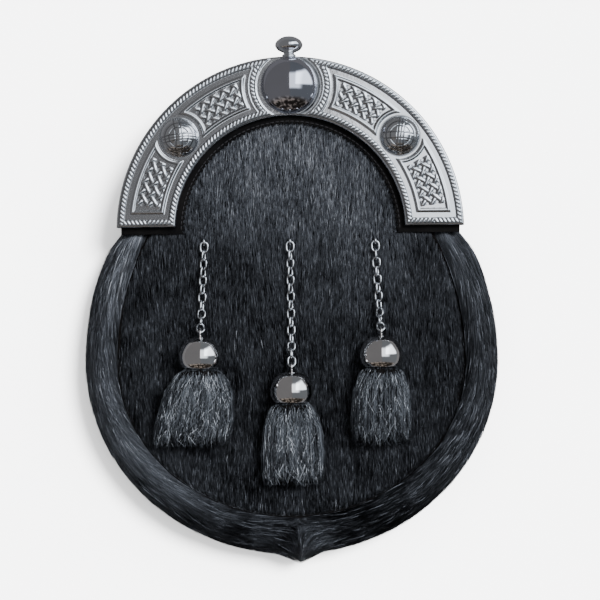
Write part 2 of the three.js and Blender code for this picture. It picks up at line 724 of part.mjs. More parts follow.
function frontPanel() {
  const outline = panelOutline(GAP, PANEL_STATIONS);
  const centre = new THREE.Vector2(0, -BODY_DROP);
  const oval = outline.map((point) => {
    const away = point.clone().sub(centre);
    return away.divideScalar(Math.hypot(away.x / crownHalfWidth, away.y / crownHalfHeight)).add(centre);
  });
  const within = oval.map((point) => point.clone().lerp(centre, 0.5));
  const layers = [outline, oval, within];
  const points = [];
  const faces = [];
  const count = outline.length;
  for (const drop of [0, FRONT_WALL]) {
    for (const spot of [...layers.flat(), centre]) {
      points.push(new THREE.Vector3(spot.x, spot.y, frontTopAt(spot.x, spot.y) - drop));
    }
  }
  const layer = layers.length * count + 1;
  for (let j = 0; j < count; j++) {
    const k = (j + 1) % count;
    for (let i = 0; i < layers.length - 1; i++) {
      const [a, b, c, d] = [i * count + j, i * count + k, (i + 1) * count + k, (i + 1) * count + j];
      faces.push([a, b, c], [a, c, d], [layer + a, layer + c, layer + b], [layer + a, layer + d, layer + c]);
    }
    const rim = (layers.length - 1) * count;
    faces.push([rim + j, rim + k, layer - 1], [layer + rim + j, 2 * layer - 1, layer + rim + k]);
    faces.push([j, layer + k, k], [j, layer + j, layer + k]);
  }
  let panel = solidOf(closedGeometry(points, faces));
  for (const { x } of tassels) {
    const hole = disc(x, CHAIN_TOP_Y, eyeHoleR, frontZ - 1, frontEdgeTop + FRONT_CROWN + 1, 8);
    panel = panel.subtract(solidOf(hole));
  }
  return geometryOf(panel);
}

function backPanel() {
  const shape = new THREE.Shape(panelOutline(GAP, PANEL_STATIONS));
  const mouth = new THREE.Path();
  const half = (MOUTH_WIDTH - MOUTH_HEIGHT) / 2;
  mouth.absarc(half, MOUTH_Y, MOUTH_HEIGHT / 2, -Math.PI / 2, Math.PI / 2, false);
  mouth.absarc(-half, MOUTH_Y, MOUTH_HEIGHT / 2, Math.PI / 2, Math.PI * 1.5, false);
  shape.holes.push(mouth);
  const post = new THREE.Path();
  post.absarc(0, studY, STUD_POST_R + GAP, 0, Math.PI * 2, true);
  shape.holes.push(post);
  const options = { depth: LEATHER, bevelEnabled: false, curveSegments: 5 };
  return new THREE.ExtrudeGeometry(shape, options).translate(0, 0, BACK_RECESS);
}

function backFlap() {
  const top = MOUTH_WIDTH / 2 - FLAP_CORNER_R * 0.3;
  const low = MOUTH_WIDTH / 2 - FLAP_CORNER_R;
  const shape = new THREE.Shape();
  shape.moveTo(-top, flapTop);
  shape.lineTo(-MOUTH_WIDTH / 2, flapTop - FLAP_CORNER_R);
  shape.lineTo(-low - FLAP_CORNER_R * 0.5, flapBottom + FLAP_CORNER_R);
  shape.quadraticCurveTo(-low, flapBottom, -low + FLAP_CORNER_R, flapBottom);
  shape.lineTo(low - FLAP_CORNER_R, flapBottom);
  shape.quadraticCurveTo(low, flapBottom, low + FLAP_CORNER_R * 0.5, flapBottom + FLAP_CORNER_R);
  shape.lineTo(MOUTH_WIDTH / 2, flapTop - FLAP_CORNER_R);
  shape.lineTo(top, flapTop);
  const post = new THREE.Path();
  post.absarc(0, studY, STUD_POST_R + GAP, 0, Math.PI * 2, true);
  shape.holes.push(post);
  const options = { depth: FLAP_WALL, bevelEnabled: false, curveSegments: 5 };
  return new THREE.ExtrudeGeometry(shape, options).translate(0, 0, flapZ);
}

function flapStud() {
  const seat = flapZ - GAP;
  const inside = backTop + GAP;
  const profile = [
    [0, seat - STUD_HEAD_HEIGHT],
    [STUD_HEAD_R * 0.7, seat - STUD_HEAD_HEIGHT],
    [STUD_HEAD_R, seat - STUD_HEAD_HEIGHT * 0.4],
    [STUD_HEAD_R, seat],
    [STUD_POST_R, seat],
    [STUD_POST_R, inside],
    [STUD_WASHER_R, inside],
    [STUD_WASHER_R, inside + STUD_WASHER_HEIGHT * 0.6],
    [0, inside + STUD_WASHER_HEIGHT],
  ].map(([x, y]) => new THREE.Vector2(x, y));
  return new THREE.LatheGeometry(profile, 10).rotateX(Math.PI / 2).translate(0, studY, 0);
}

// Plain leather loop, lying flattened under the back, for the belt or strap.
function beltLoop(side) {
  const seat = BACK_RECESS - GAP;
  const low = GAP;
  const half = LOOP_LENGTH / 2;
  const shape = new THREE.Shape([
    [-half, seat], [-half, seat - LOOP_WALL], [-half * 0.72, seat - LOOP_WALL], [-half * 0.5, low],
    [half * 0.5, low], [half * 0.72, seat - LOOP_WALL], [half, seat - LOOP_WALL], [half, seat],
    [half * 0.68, seat], [half * 0.46, low + LOOP_WALL], [-half * 0.46, low + LOOP_WALL],
    [-half * 0.68, seat],
  ].map(([x, y]) => new THREE.Vector2(x, y)));
  const strap = new THREE.ExtrudeGeometry(shape, { depth: LOOP_WIDTH, bevelEnabled: false });
  return strap.rotateX(Math.PI / 2).rotateZ(Math.PI / 2)
    .translate(side * LOOP_X - LOOP_WIDTH / 2, LOOP_Y, 0);
}

// Leather backing of the cantle, which shows as a black edge inside it.
function cantleBacking() {
  const innerR = CANTLE_INNER_R - BACKING_SHOW;
  const outerR = CANTLE_OUTER_R - CANTLE_WALL - 2 * GAP;
  return bandSlab(innerR, outerR, CANTLE_END_Y - BACKING_END_SHOW, backingZ, backingZ + BACKING_WALL);
}

// Chains and tassels

// Wire bent to a ring in the XY plane, with an edge of its section turned inward.
function wireRing(radius, steps) {
  const section = [];
  for (let i = 0; i <= 5; i++) {
    const angle = Math.PI * (1 + i * 0.4);
    section.push(new THREE.Vector2(radius + WIRE / 2 * Math.cos(angle), WIRE / 2 * Math.sin(angle)));
  }
  return new THREE.LatheGeometry(section, steps).rotateX(Math.PI / 2).rotateZ(Math.PI / 2);
}

function linkGeometry() {
  const radius = (LINK_WIDTH - WIRE) / 2;
  const link = wireRing(radius, 10);
  const position = link.attributes.position;
  const straight = linkReach / 2 - radius * Math.cos(Math.PI / 10);
  for (let i = 0; i < position.count; i++) {
    const y = position.getY(i);
    position.setY(i, Math.abs(y) < WIRE / 10 ? y : y + Math.sign(y) * straight);
  }
  return link;
}

// Centres and directions of a chain's links, and the point where its cap hangs.
function chainPlaces({ x, drift, links }) {
  const run = links * linkPitch;
  const first = CHAIN_TOP_Y - linkReach / 2;
  const climbTo = CAP_R - LINK_WIDTH / 2;
  const route = new THREE.CatmullRomCurve3(CHAIN_ROUTE.map(({ run: share, climb }) => {
    const [px, py] = [x + drift * share, first - run * share];
    return new THREE.Vector3(px, py, frontTopAt(px, py) + chainLift + climb * climbTo);
  }));
  const length = route.getLength();
  const places = [];
  for (let i = 0; i < links; i++) {
    const share = i * linkPitch / length;
    places.push({ centre: route.getPointAt(share), along: route.getTangentAt(share) });
  }
  const last = places[links - 1];
  const hook = last.centre.clone().addScaledVector(last.along, linkReach / 2);
  return { places, hook };
}

function chain(tassel) {
  const { places } = chainPlaces(tassel);
  const solids = places.map(({ centre, along }, i) => {
    const side = new THREE.Vector3().crossVectors(along, new THREE.Vector3(0, 0, 1)).normalize();
    const up = new THREE.Vector3().crossVectors(side, along);
    const last = places.length - 1;
    const turn = THREE.MathUtils.lerp(tassel.turn, tassel.endTurn, i / last);
    const loose = Math.min(1, i / 2, (last - i) / 2);
    const roll = degrees(turn) * loose + (i % 2) * Math.PI / 2;
    const normal = up.clone().multiplyScalar(Math.cos(roll)).addScaledVector(side, Math.sin(roll));
    const across = new THREE.Vector3().crossVectors(along, normal);
    const basis = new THREE.Matrix4().makeBasis(across, along, normal).setPosition(centre);
    return solidOf(linkGeometry().applyMatrix4(basis));
  });
  return geometryOf(joined(solids));
}

// Split wire eye that holds the top link and is spread under the front panel.
function chainEye({ x }) {
  const z = frontTopAt(x, CHAIN_TOP_Y) + chainLift;
  const top = z + WIRE + GAP;
  const under = frontZ - GAP - WIRE / 2;
  const half = eyeHalf;
  const path = [
    [-half * 2.6, under], [-half * 1.5, under], [-half, under + WIRE], [-half, (under + z) / 2], [-half, z],
    [-half * 0.7, top - WIRE * 0.35], [0, top],
    [half * 0.7, top - WIRE * 0.35], [half, z], [half, (under + z) / 2], [half, under + WIRE],
    [half * 1.5, under], [half * 2.6, under],
  ].map(([y, height]) => new THREE.Vector3(x, CHAIN_TOP_Y + y, height));
  const section = new THREE.Shape();
  for (let i = 0; i < 5; i++) {
    const angle = i / 5 * Math.PI * 2;
    section[i ? 'lineTo' : 'moveTo'](WIRE / 2 * Math.cos(angle), WIRE / 2 * Math.sin(angle));
  }
  const extrudePath = new THREE.CatmullRomCurve3(path);
  return new THREE.ExtrudeGeometry(section, { steps: 8, bevelEnabled: false, extrudePath });
}

// Foot of the cap on its axis, under the ring that the last link holds.
function capPlace(tassel) {
  const { hook } = chainPlaces(tassel);
  const ringTop = hook.y + WIRE + GAP;
  const z = frontTopAt(hook.x, hook.y - CAP_HEIGHT) + CAP_R + GAP;
  return new THREE.Vector3(hook.x, ringTop - 2 * CAP_RING_R - CAP_HEIGHT + WIRE / 4, z);
}

function tasselCap(tassel) {
  const outer = CAP_PROFILE.map(({ up, out }) => new THREE.Vector2(CAP_R * out, CAP_HEIGHT * up));
  const inner = CAP_PROFILE.filter(({ inside }) => inside).map(({ up, out, inside }) => {
    const height = up * (CAP_HEIGHT - CAP_WALL * inside);
    return new THREE.Vector2(CAP_R * out - CAP_WALL * inside, height);
  });
  const profile = [
    new THREE.Vector2(0, CAP_HEIGHT - CAP_WALL), ...inner.reverse(), ...outer,
    new THREE.Vector2(0, CAP_HEIGHT),
  ];
  const shell = solidOf(new THREE.LatheGeometry(profile, CAP_SIDES));
  const ring = wireRing(CAP_RING_R, 10).rotateY(Math.PI / 2);
  ring.translate(0, CAP_HEIGHT + CAP_RING_R - WIRE / 4, 0);
  const place = capPlace(tassel);
  return geometryOf(shell.add(solidOf(ring)).translate([place.x, place.y, place.z]));
}

// Bell of hair in locks on one head, spread and lying on the front panel.
function tasselHair(tassel) {
  const place = capPlace(tassel);
  const points = HAIR_LOCKS * 2;
  const outline = [];
  const rings = HAIR_RINGS.map(({ drop, head, wide, deep, rise, lock }) => {
    const x = place.x + tassel.lean * wide;
    const y = place.y - drop * HAIR_LENGTH;
    const halfWide = THREE.MathUtils.lerp(HAIR_HEAD_R * head, tassel.spread, wide);
    const ground = frontTopAt(x, y) + GAP;
    const halfDeep = HAIR_THICK * deep;
    const centreZ = Math.max(ground + halfDeep, THREE.MathUtils.lerp(ground + halfDeep, place.z, rise));
    const ring = [];
    for (let i = 0; i < points; i++) {
      const angle = i / points * Math.PI * 2;
      const hollow = i % 2 ? 1 - HAIR_LOCK_DEPTH * lock : 1;
      const end = drop === 1 && i % 2 === 0 ? HAIR_LOCK_END : 0;
      ring.push(new THREE.Vector3(
        x + halfWide * hollow * Math.cos(angle), y - end,
        centreZ + halfDeep * hollow * Math.sin(angle),
      ));
    }
    return ring;
  });
  for (const point of rings[0]) {
    outline.push(new THREE.Vector2(point.x, point.z));
  }
  return loft(rings, outline);
}

// Materials and assembly

const chrome = { color: 0xc9cbce, roughness: 0.12, metalness: 1 };
const fur = { color: 0x17181b, roughness: 0.65, metalness: 0 };
const hair = { color: 0x3b3d42, roughness: 0.6, metalness: 0 };
const leather = { color: 0x121214, roughness: 0.5, metalness: 0 };

const sporran = new THREE.Group();
const body = new THREE.Group();

function addPiece(name, geometry, material) {
  const shaped = geometry.index ? geometry.toNonIndexed() : geometry;
  shaped.computeVertexNormals();
  const mesh = new THREE.Mesh(shaped, new THREE.MeshStandardMaterial(material));
  mesh.name = name;
  body.add(mesh);
}

addPiece('front_panel', frontPanel(), fur);
addPiece('fur_gusset', furGusset(), fur);
addPiece('top_gusset', topGusset(), leather);
addPiece('back_panel', backPanel(), leather);
addPiece('back_flap', backFlap(), leather);
addPiece('flap_stud', flapStud(), chrome);
addPiece('belt_loop_left', beltLoop(-1), leather);
addPiece('belt_loop_right', beltLoop(1), leather);
addPiece('cantle_backing', cantleBacking(), leather);
addPiece('cantle', cantle(), chrome);
addPiece('centre_dome', centreDome(), chrome);
addPiece('side_dome_left', sideDome(-1), chrome);
addPiece('side_dome_right', sideDome(1), chrome);
addPiece('finial', finial(), chrome);
for (const tassel of tassels) {
  addPiece(`chain_eye_${tassel.name}`, chainEye(tassel), chrome);
  addPiece(`chain_${tassel.name}`, chain(tassel), chrome);
  addPiece(`tassel_cap_${tassel.name}`, tasselCap(tassel), chrome);
  addPiece(`tassel_hair_${tassel.name}`, tasselHair(tassel), hair);
}

const box = new THREE.Box3().setFromObject(body);
const middle = box.getCenter(new THREE.Vector3());
body.position.set(-middle.x, -middle.y, -box.min.z);
sporran.add(body);

export default sporran;
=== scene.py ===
"""Looks of a full-dress sporran pouch that lies on its back on a pale floor.

Every piece is made in millimetres from the centre of the arched cantle's circles,
with Z up from the floor, and is moved to the frame's metres when its mesh is made.
"""

import math

import bmesh
import bpy
import numpy as np
from bpy.props import FloatProperty, FloatVectorProperty, IntProperty, PointerProperty
from mathutils import Matrix, Vector


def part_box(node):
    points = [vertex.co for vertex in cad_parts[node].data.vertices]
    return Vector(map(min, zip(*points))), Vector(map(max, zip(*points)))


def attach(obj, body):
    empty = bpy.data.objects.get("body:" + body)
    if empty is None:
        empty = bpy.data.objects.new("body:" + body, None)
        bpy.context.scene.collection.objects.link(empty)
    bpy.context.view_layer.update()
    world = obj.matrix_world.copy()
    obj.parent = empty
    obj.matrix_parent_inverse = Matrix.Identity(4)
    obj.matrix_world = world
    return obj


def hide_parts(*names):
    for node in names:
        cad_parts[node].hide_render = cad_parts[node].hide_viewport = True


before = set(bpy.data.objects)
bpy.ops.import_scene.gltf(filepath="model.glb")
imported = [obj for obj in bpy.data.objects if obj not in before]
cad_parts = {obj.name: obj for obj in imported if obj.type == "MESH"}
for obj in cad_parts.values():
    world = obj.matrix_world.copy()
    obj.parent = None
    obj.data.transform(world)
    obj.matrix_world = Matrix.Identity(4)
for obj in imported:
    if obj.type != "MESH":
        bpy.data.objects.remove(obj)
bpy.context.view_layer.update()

bl_info = {
    "name": "Sporran Pouch",
    "version": (1, 0, 0),
    "blender": (4, 5, 0),
    "location": "View3D > Sidebar > Sporran",
    "description": "Builds a full-dress sporran pouch with its fur, metal cantle and tassels",
    "category": "Add Mesh",
}


def frame_box(node):
    """Corners of a frame node in millimetres."""
    low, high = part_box(node)
    return np.array(low) * 1000, np.array(high) * 1000


CANTLE_LOW, CANTLE_HIGH = frame_box("cantle")
FRONT_LOW = frame_box("front_panel")[0]

# Sizes in millimetres that the frame's solids have too. The rope and the knots' strands
# are narrower here, and EDGE_CHANNEL takes up what the rope leaves.
GAP = 0.3
OUTER_R = (CANTLE_HIGH[0] - CANTLE_LOW[0]) / 2
CENTRE_Y = CANTLE_HIGH[1] - OUTER_R
INNER_R = 57.5
BAND_R = (OUTER_R + INNER_R) / 2
END_Y = 2.0
EDGE = 0.9
ROPE_WIDTH = 2.8
ROPE_HEIGHT = 1.3
ROPE_PITCH = 2.0
CHANNEL = 2.0
EDGE_CHANNEL = 2.8
PLATE_TOP = 43.7
FRAME_BORDER = 1.9
KNOT_PITCH = 5.4
KNOT_REACH = 5.0
STRAND_HALF = 0.84
MEDALLION_R = 16.6
MEDALLION_LINE = 0.8
MEDALLION_ROPE = 2.7
DOME_FOOT = 0.8
SIDE_DOME_R = 9.8
SIDE_DOME_ANGLE = math.radians(49.7)
FRONT_EDGE_TOP = FRONT_LOW[2] + 3.0
FRONT_CROWN = 3.0
BODY_DROP = 66.0
SEAM_HALF = 88.5
SEAM_BELOW = 79.0
SEAM_ABOVE = 111.0
SEAM_ARCH_R = 70.0
ROLL_SIDE = 15.7
ROLL_BELOW = 18.6
ROLL_ABOVE = 10.0
ROLL_TOP_Y = 1.0
ROLL_CREST = FRONT_EDGE_TOP + 3.0
CROWN_HALF_WIDTH = SEAM_HALF - 7.0
CROWN_HALF_HEIGHT = BODY_DROP + END_Y - 3.5 - GAP
TUFT_X = 3.4
TUFT_REACH = 5.0
CHAIN_HOLE_R = 2.55
STUD_HOLE_R = 2.1
STUD_Y = 7.8
WIRE = 1.1
LINK_LENGTH = 6.3
LINK_WIDTH = 4.7
LINK_BITE = 0.1
CHAIN_TOP_Y = -5.6
CAP_R = 10.7
CAP_HEIGHT = 15.5
CAP_RING_R = 2.0
HAIR_HEAD_R = 8.2
HAIR_LENGTH = 40.0
HAIR_THICK = 9.4
CANTLE_WALL = 1.3
BACKING_WALL = 1.5
LEATHER = 2.4
LOOP_WALL = 1.8
INNER_RIM_LOW = 38.5
PLATE_UNDER = PLATE_TOP - 2.2
KNOB_RISE = 0.3
MOUTH_Y = 34.0
MOUTH_HALF = 35.0
MOUTH_R = 7.0
FLAP_TOP = 48.0
FLAP_BOTTOM = -3.0
FLAP_HALF = 42.0
FLAP_CORNER = 18.0
STUD_INSIDE = 7.7

# Turns a lathed shape's axis from Z to Y.
TIPPED = Matrix.Rotation(-math.pi / 2, 4, "X")

# Sizes in millimetres that only the looks have, with a bend's share and a step count.
ROPE_INSET = 2.7
DOME_RING_R = 6.0
BAND_BEND = 0.012
GROOVE_WIDTH = 0.24
# The next radius places the painted contact shadow round the large dome.
SHADOW_RING_R = 15.0
LINE_HEIGHT = 0.28
HIDE_DROP = 2.2
FUR_SPLIT_Y = -54
ROLL_RUN = 430.0
TASSEL_HAIR_WIDTH = 0.33
CAMERA_X = 4.5
CAMERA_Y = -35.0
PANEL_STEPS = 90

# Each chain's place, drift, links and turns, and its hair's spread, lean, share of
# the usual length and share of the usual light.
TASSELS = tuple(dict(zip((
    "name", "x", "drift", "links", "turn", "end_turn", "spread", "lean", "long", "light"), row))
    for row in (
        ("left", -43.43, -2.016, 11, 45, 5, 18.5, -5.92, 1.0, 1),
        ("middle", -0.301, 0.378, 15, 35, 15, 14.985, 0.37, 1.06, 1),
        ("right", 42.57, 2.394, 11, 5, 45, 14.43, -0.555, 1.0, 0.88)))

# Share of the run from eye to cap, and share of the climb to the cap.
CHAIN_ROUTE = ((0, 0), (0.25, 0), (0.5, 0), (0.68, 0.12), (0.84, 0.62), (0.94, 0.96), (1.1, 1))

# Fur roll section from its front seam round the outside to its back seam: shares
# of its width and of its crest's height.
ROLL_SECTION = (
    (-0.12, 0.925), (0.0, 0.93), (0.15, 0.975), (0.42, 1.0), (0.78, 0.84), (0.97, 0.6),
    (1.0, 0.42), (0.93, 0.2), (0.78, 0.04), (0.6, 0.0), (0.12, 0.0), (-0.12, 0.06),
)

# Tassel hair: share of the length, share of the head's radius, share of the way
# to the spread, share of the thickness and share of the cap's rise.
HAIR_RINGS = (
    (-0.13, 0.84, 0, 0.74, 1), (0.012, 0.86, 0, 0.78, 1), (0.045, 1.26, 0.06, 1.0, 1),
    (0.12, 1.3, 0.36, 0.99, 0.83), (0.25, 1.3, 0.68, 0.98, 0.62), (0.45, 1.25, 0.88, 0.91, 0.37),
    (0.7, 1.2, 0.98, 0.8, 0.12), (1, 1.15, 0.96, 0.66, 0),
)


# Numbers on surfaces

def smooth(value):
    share = np.clip(value, 0, 1)
    return share * share * (3 - 2 * share)


def ramp(value, low, high):
    return smooth((np.asarray(value, float) - low) / (high - low))


def value_noise(x, y, seed):
    """Smooth noise from 0 to 1 at points x, y, with cells of size 1."""
    table = np.random.default_rng(seed).random((64, 64))
    cell_x, cell_y = np.floor(x).astype(int), np.floor(y).astype(int)
    fx, fy = smooth(x - cell_x), smooth(y - cell_y)
    low, high = (table[cell_x % 64, (cell_y + up) % 64] * (1 - fx)
                 + table[(cell_x + 1) % 64, (cell_y + up) % 64] * fx for up in (0, 1))
    return low * (1 - fy) + high * fy


def front_top(x, y):
    """Height of the crowned front at points x, y."""
    across = np.asarray(x) / CROWN_HALF_WIDTH
    down = (np.asarray(y) + BODY_DROP) / CROWN_HALF_HEIGHT
    return FRONT_EDGE_TOP + FRONT_CROWN * np.maximum(0, 1 - across ** 2 - down ** 2)


def catmull(points, count):
    """Smooth open curve through points, as count points evenly spaced by length."""
    points = np.asarray(points, float)
    padded = np.vstack([2 * points[0] - points[1], points, 2 * points[-1] - points[-2]])
    t = np.linspace(0, len(points) - 1, 24 * len(points))
    i = np.minimum(t.astype(int), len(points) - 2)
    f = (t - i)[:, None]
    a, b, c, d = padded[i], padded[i + 1], padded[i + 2], padded[i + 3]
    curve = 0.5 * (2 * b + (c - a) * f + (2 * a - 5 * b + 4 * c - d) * f ** 2
                   + (3 * b - a - 3 * c + d) * f ** 3)
    length = run_lengths(curve)
    wanted = np.linspace(0, length[-1], count)
    return np.stack([np.interp(wanted, length, column) for column in curve.T], axis=1)


# Meshes

def to_frame(points):
    points = np.array(points, float)
    points[..., 1] += CENTRE_Y
    return points / 1000


def mesh_of(bm, name):
    mesh = bpy.data.meshes.new(name)
    bm.to_mesh(mesh)
    bm.free()
    return mesh


def finish_piece(name, shape, material, replaces=None, smooth_faces=True):
    """Puts a mesh or bmesh in the frame's metres, with its material, slot and body."""
    mesh = mesh_of(shape, name) if isinstance(shape, bmesh.types.BMesh) else shape
    count = len(mesh.vertices)
    points = np.zeros(count * 3)
    mesh.vertices.foreach_get("co", points)
    mesh.vertices.foreach_set("co", to_frame(points.reshape(-1, 3)).ravel())
    mesh.polygons.foreach_set("use_smooth", [smooth_faces] * len(mesh.polygons))
    mesh.update()
    piece = bpy.data.objects.new(name, mesh)
    bpy.context.scene.collection.objects.link(piece)
    piece.data.materials.append(material)
    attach(piece, "root")
    if replaces:
        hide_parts(replaces)


def ring_edges(bm, verts):
    """New edges round a ring of vertices."""
    return [bm.edges.new(pair) for pair in zip(verts, verts[1:] + verts[:1])]


def new_verts(grown):
    return [g for g in grown if isinstance(g, bmesh.types.BMVert)]


def open_edges(grown):
    return [g for g in grown if isinstance(g, bmesh.types.BMEdge) and g.is_boundary]


def thicken(bm, way):
    """Extrudes all faces along way, into a closed body."""
    grown = bmesh.ops.extrude_face_region(bm, geom=list(bm.faces))["geom"]
    bmesh.ops.translate(bm, vec=way, verts=new_verts(grown))
    bmesh.ops.recalc_face_normals(bm, faces=bm.faces)


def lathe(profile, steps, place=None):
    """Closed turned shape about Z from (radius, height) rows that start and end on the axis."""
    bm = bmesh.new()
    verts = [bm.verts.new((radius, 0, height)) for radius, height in profile]
    edges = [bm.edges.new(pair) for pair in zip(verts, verts[1:])]
    bmesh.ops.spin(bm, geom=verts + edges, axis=(0, 0, 1), cent=(0, 0, 0),
                   angle=2 * math.pi, steps=steps, use_merge=True)
    bmesh.ops.remove_doubles(bm, verts=bm.verts, dist=0.001)
    bmesh.ops.recalc_face_normals(bm, faces=bm.faces)
    if place is not None:
        bmesh.ops.transform(bm, matrix=place, verts=bm.verts)
    return bm


def joined(meshes):
    """One bmesh of several meshes, which are removed."""
    whole = bmesh.new()
    for mesh in meshes:
        whole.from_mesh(mesh)
        bpy.data.meshes.remove(mesh)
    return whole


def bell(value, middle, width):
    """1 at middle, falling off to both sides."""
    return np.exp(-((value - middle) / width) ** 2)


def run_lengths(curve):
    """Length along a curve up to each of its points."""
    return np.concatenate([[0], np.cumsum(np.linalg.norm(np.diff(curve, axis=0), axis=1))])


def wire_tube(points, radius, sides, closed=False):
    """Round wire along points, as a closed bmesh made from a curve's bevel."""
    curve = bpy.data.curves.new("wire", "CURVE")
    curve.dimensions = "3D"
    curve.bevel_depth = radius
    curve.bevel_resolution = max(0, sides // 4 - 1)
    curve.use_fill_caps = not closed
    spline = curve.splines.new("POLY")
    spline.points.add(len(points) - 1)
    for point, place in zip(spline.points, points):
        point.co = (*place, 1)
    spline.use_cyclic_u = closed
    holder = bpy.data.objects.new("wire", curve)
    bpy.context.scene.collection.objects.link(holder)
    bpy.context.view_layer.update()
    mesh = bpy.data.meshes.new_from_object(holder)
    bpy.data.objects.remove(holder)
    bpy.data.curves.remove(curve)
    bm = bmesh.new()
    bm.from_mesh(mesh)
    bpy.data.meshes.remove(mesh)
    bmesh.ops.remove_doubles(bm, verts=bm.verts, dist=0.0005)
    bmesh.ops.recalc_face_normals(bm, faces=bm.faces)
    return bm


def strands(paths, widths, tones):
    """One mesh of closed three-sided hairs. paths is (hair, point, 3), widths and
    tones are (hair, point); the last point of each hair is its tip."""
    hairs, rings = paths.shape[0], paths.shape[1] - 1
    along = np.gradient(paths, axis=1)
    along /= np.linalg.norm(along, axis=2, keepdims=True) + 1e-9
    up = np.zeros_like(along)
    up[..., 2] = 1
    side = np.cross(along, up)
    side /= np.linalg.norm(side, axis=2, keepdims=True) + 1e-9
    lift = np.cross(side, along)
    points = np.empty((hairs, rings * 3 + 1, 3))
    for corner in range(3):
        angle = math.pi / 2 + corner * 2 * math.pi / 3
        offset = side * math.cos(angle) + lift * math.sin(angle)
        points[:, corner:rings * 3:3] = (paths + offset * widths[..., None] / 2)[:, :rings]
    points[:, -1] = paths[:, -1]
    shade = np.concatenate([np.repeat(tones[:, :rings], 3, axis=1), tones[:, -1:]], axis=1)
    sides = ((0, 1), (1, 2), (2, 0))
    quads = [(3 * ring + a, 3 * ring + b, 3 * ring + b + 3, 3 * ring + a + 3)
             for ring in range(rings - 1) for a, b in sides]
    top = (rings - 1) * 3
    fans = [(2, 1, 0)] + [(top + a, top + b, rings * 3) for a, b in sides]
    base = (np.arange(hairs) * (rings * 3 + 1))[:, None, None]
    loops = np.concatenate([
        (np.array(quads, int).reshape(1, -1, 4) + base).ravel(),
        (np.array(fans, int).reshape(1, -1, 3) + base).ravel(),
    ])
    quad_count, fan_count = hairs * len(quads), hairs * len(fans)
    starts = np.concatenate([
        np.arange(quad_count) * 4, quad_count * 4 + np.arange(fan_count) * 3,
    ])
    mesh = bpy.data.meshes.new("strands")
    mesh.vertices.add(points.shape[0] * points.shape[1])
    mesh.vertices.foreach_set("co", points.ravel())
    mesh.loops.add(len(loops))
    mesh.loops.foreach_set("vertex_index", loops)
    mesh.polygons.add(len(starts))
    mesh.polygons.foreach_set("loop_start", starts)
    mesh.update(calc_edges=True)
    attribute = mesh.attributes.new("tone", "FLOAT", "POINT")
    attribute.data.foreach_set("value", shade.ravel())
    return mesh


# Materials

class Socket:
    """A node's output, on which arithmetic adds Math nodes."""

    def __init__(self, shader, output):
        self.shader = shader
        self.output = output

    def math(self, operation, *values):
        return self.shader.node("ShaderNodeMath", {"operation": operation},
                                dict(enumerate((self, *values))))

    def __add__(self, other):
        return self.math("ADD", other)

    __radd__ = __add__

    def __sub__(self, other):
        return self.math("SUBTRACT", other)

    def __mul__(self, other):
        return self.math("MULTIPLY", other)

    __rmul__ = __mul__

    def between(self, low, high):
        """0 at low and 1 at high, smoothly, in whichever order they are."""
        settings = {"interpolation_type": "SMOOTHSTEP"}
        return self.shader.node("ShaderNodeMapRange", settings,
                                {"Value": self, "From Min": low, "From Max": high})


class Shader:
    """A material's node tree with one Principled BSDF."""

    def __init__(self, name, **uniform):
        self.owner = bpy.data.materials.new(name)
        self.owner.use_nodes = True
        self.tree = self.owner.node_tree
        self.surface = self.tree.nodes["Principled BSDF"]
        for socket, value in uniform.items():
            self.surface.inputs[socket.replace("_", " ")].default_value = value

    def node(self, kind, settings=None, values=None, output=0):
        node = self.tree.nodes.new(kind)
        for key, value in (settings or {}).items():
            if key == "stops":
                self.set_stops(node.color_ramp, value)
            else:
                setattr(node, key, value)
        for key, value in (values or {}).items():
            if isinstance(value, Socket):
                self.tree.links.new(value.output, node.inputs[key])
            else:
                node.inputs[key].default_value = value
        return Socket(self, node.outputs[output])

    @staticmethod
    def set_stops(color_ramp, stops):
        while len(color_ramp.elements) < len(stops):
            color_ramp.elements.new(1)
        for element, (position, color) in zip(color_ramp.elements, stops):
            element.position = position
            element.color = (*color, 1)

    def attribute(self, name):
        return self.node("ShaderNodeAttribute", {"attribute_name": name}, output="Fac")

    def place(self):
        return self.node("ShaderNodeTexCoord", output="Object")

    def noise(self, scale, detail, roughness, vector=None):
        return self.node("ShaderNodeTexNoise", None, {
            "Vector": vector or self.place(), "Scale": scale, "Detail": detail,
            "Roughness": roughness})

    def ramp(self, value, *stops):
        return self.node("ShaderNodeValToRGB", {"stops": stops}, {"Fac": value})

    def mix(self, share, first, second):
        return self.node("ShaderNodeMix", {"data_type": "RGBA"},
                         {"Factor": share, 6: first, 7: second}, output=2)

    def bump(self, height, strength, distance):
        return self.node("ShaderNodeBump", None, {
            "Height": height, "Strength": strength, "Distance": distance / 1000})

    def feed(self, **sockets):
        for name, value in sockets.items():
            self.tree.links.new(value.output, self.surface.inputs[name.replace("_", " ")])
        return self.owner


def rgb(red, green, blue):
    return (red, green, blue, 1)


class Sky(Shader):
    """A world's node tree with its Background."""

    def __init__(self, name):
        self.owner = bpy.data.worlds.new(name)
        self.owner.use_nodes = True
        self.tree = self.owner.node_tree
        self.surface = self.tree.nodes["Background"]

    def direction(self):
        return self.node("ShaderNodeTexCoord", output="Generated")

    def way(self, axis):
        """Part of the looking direction along an axis."""
        return self.node("ShaderNodeSeparateXYZ", None, {0: self.direction()}, output=axis)


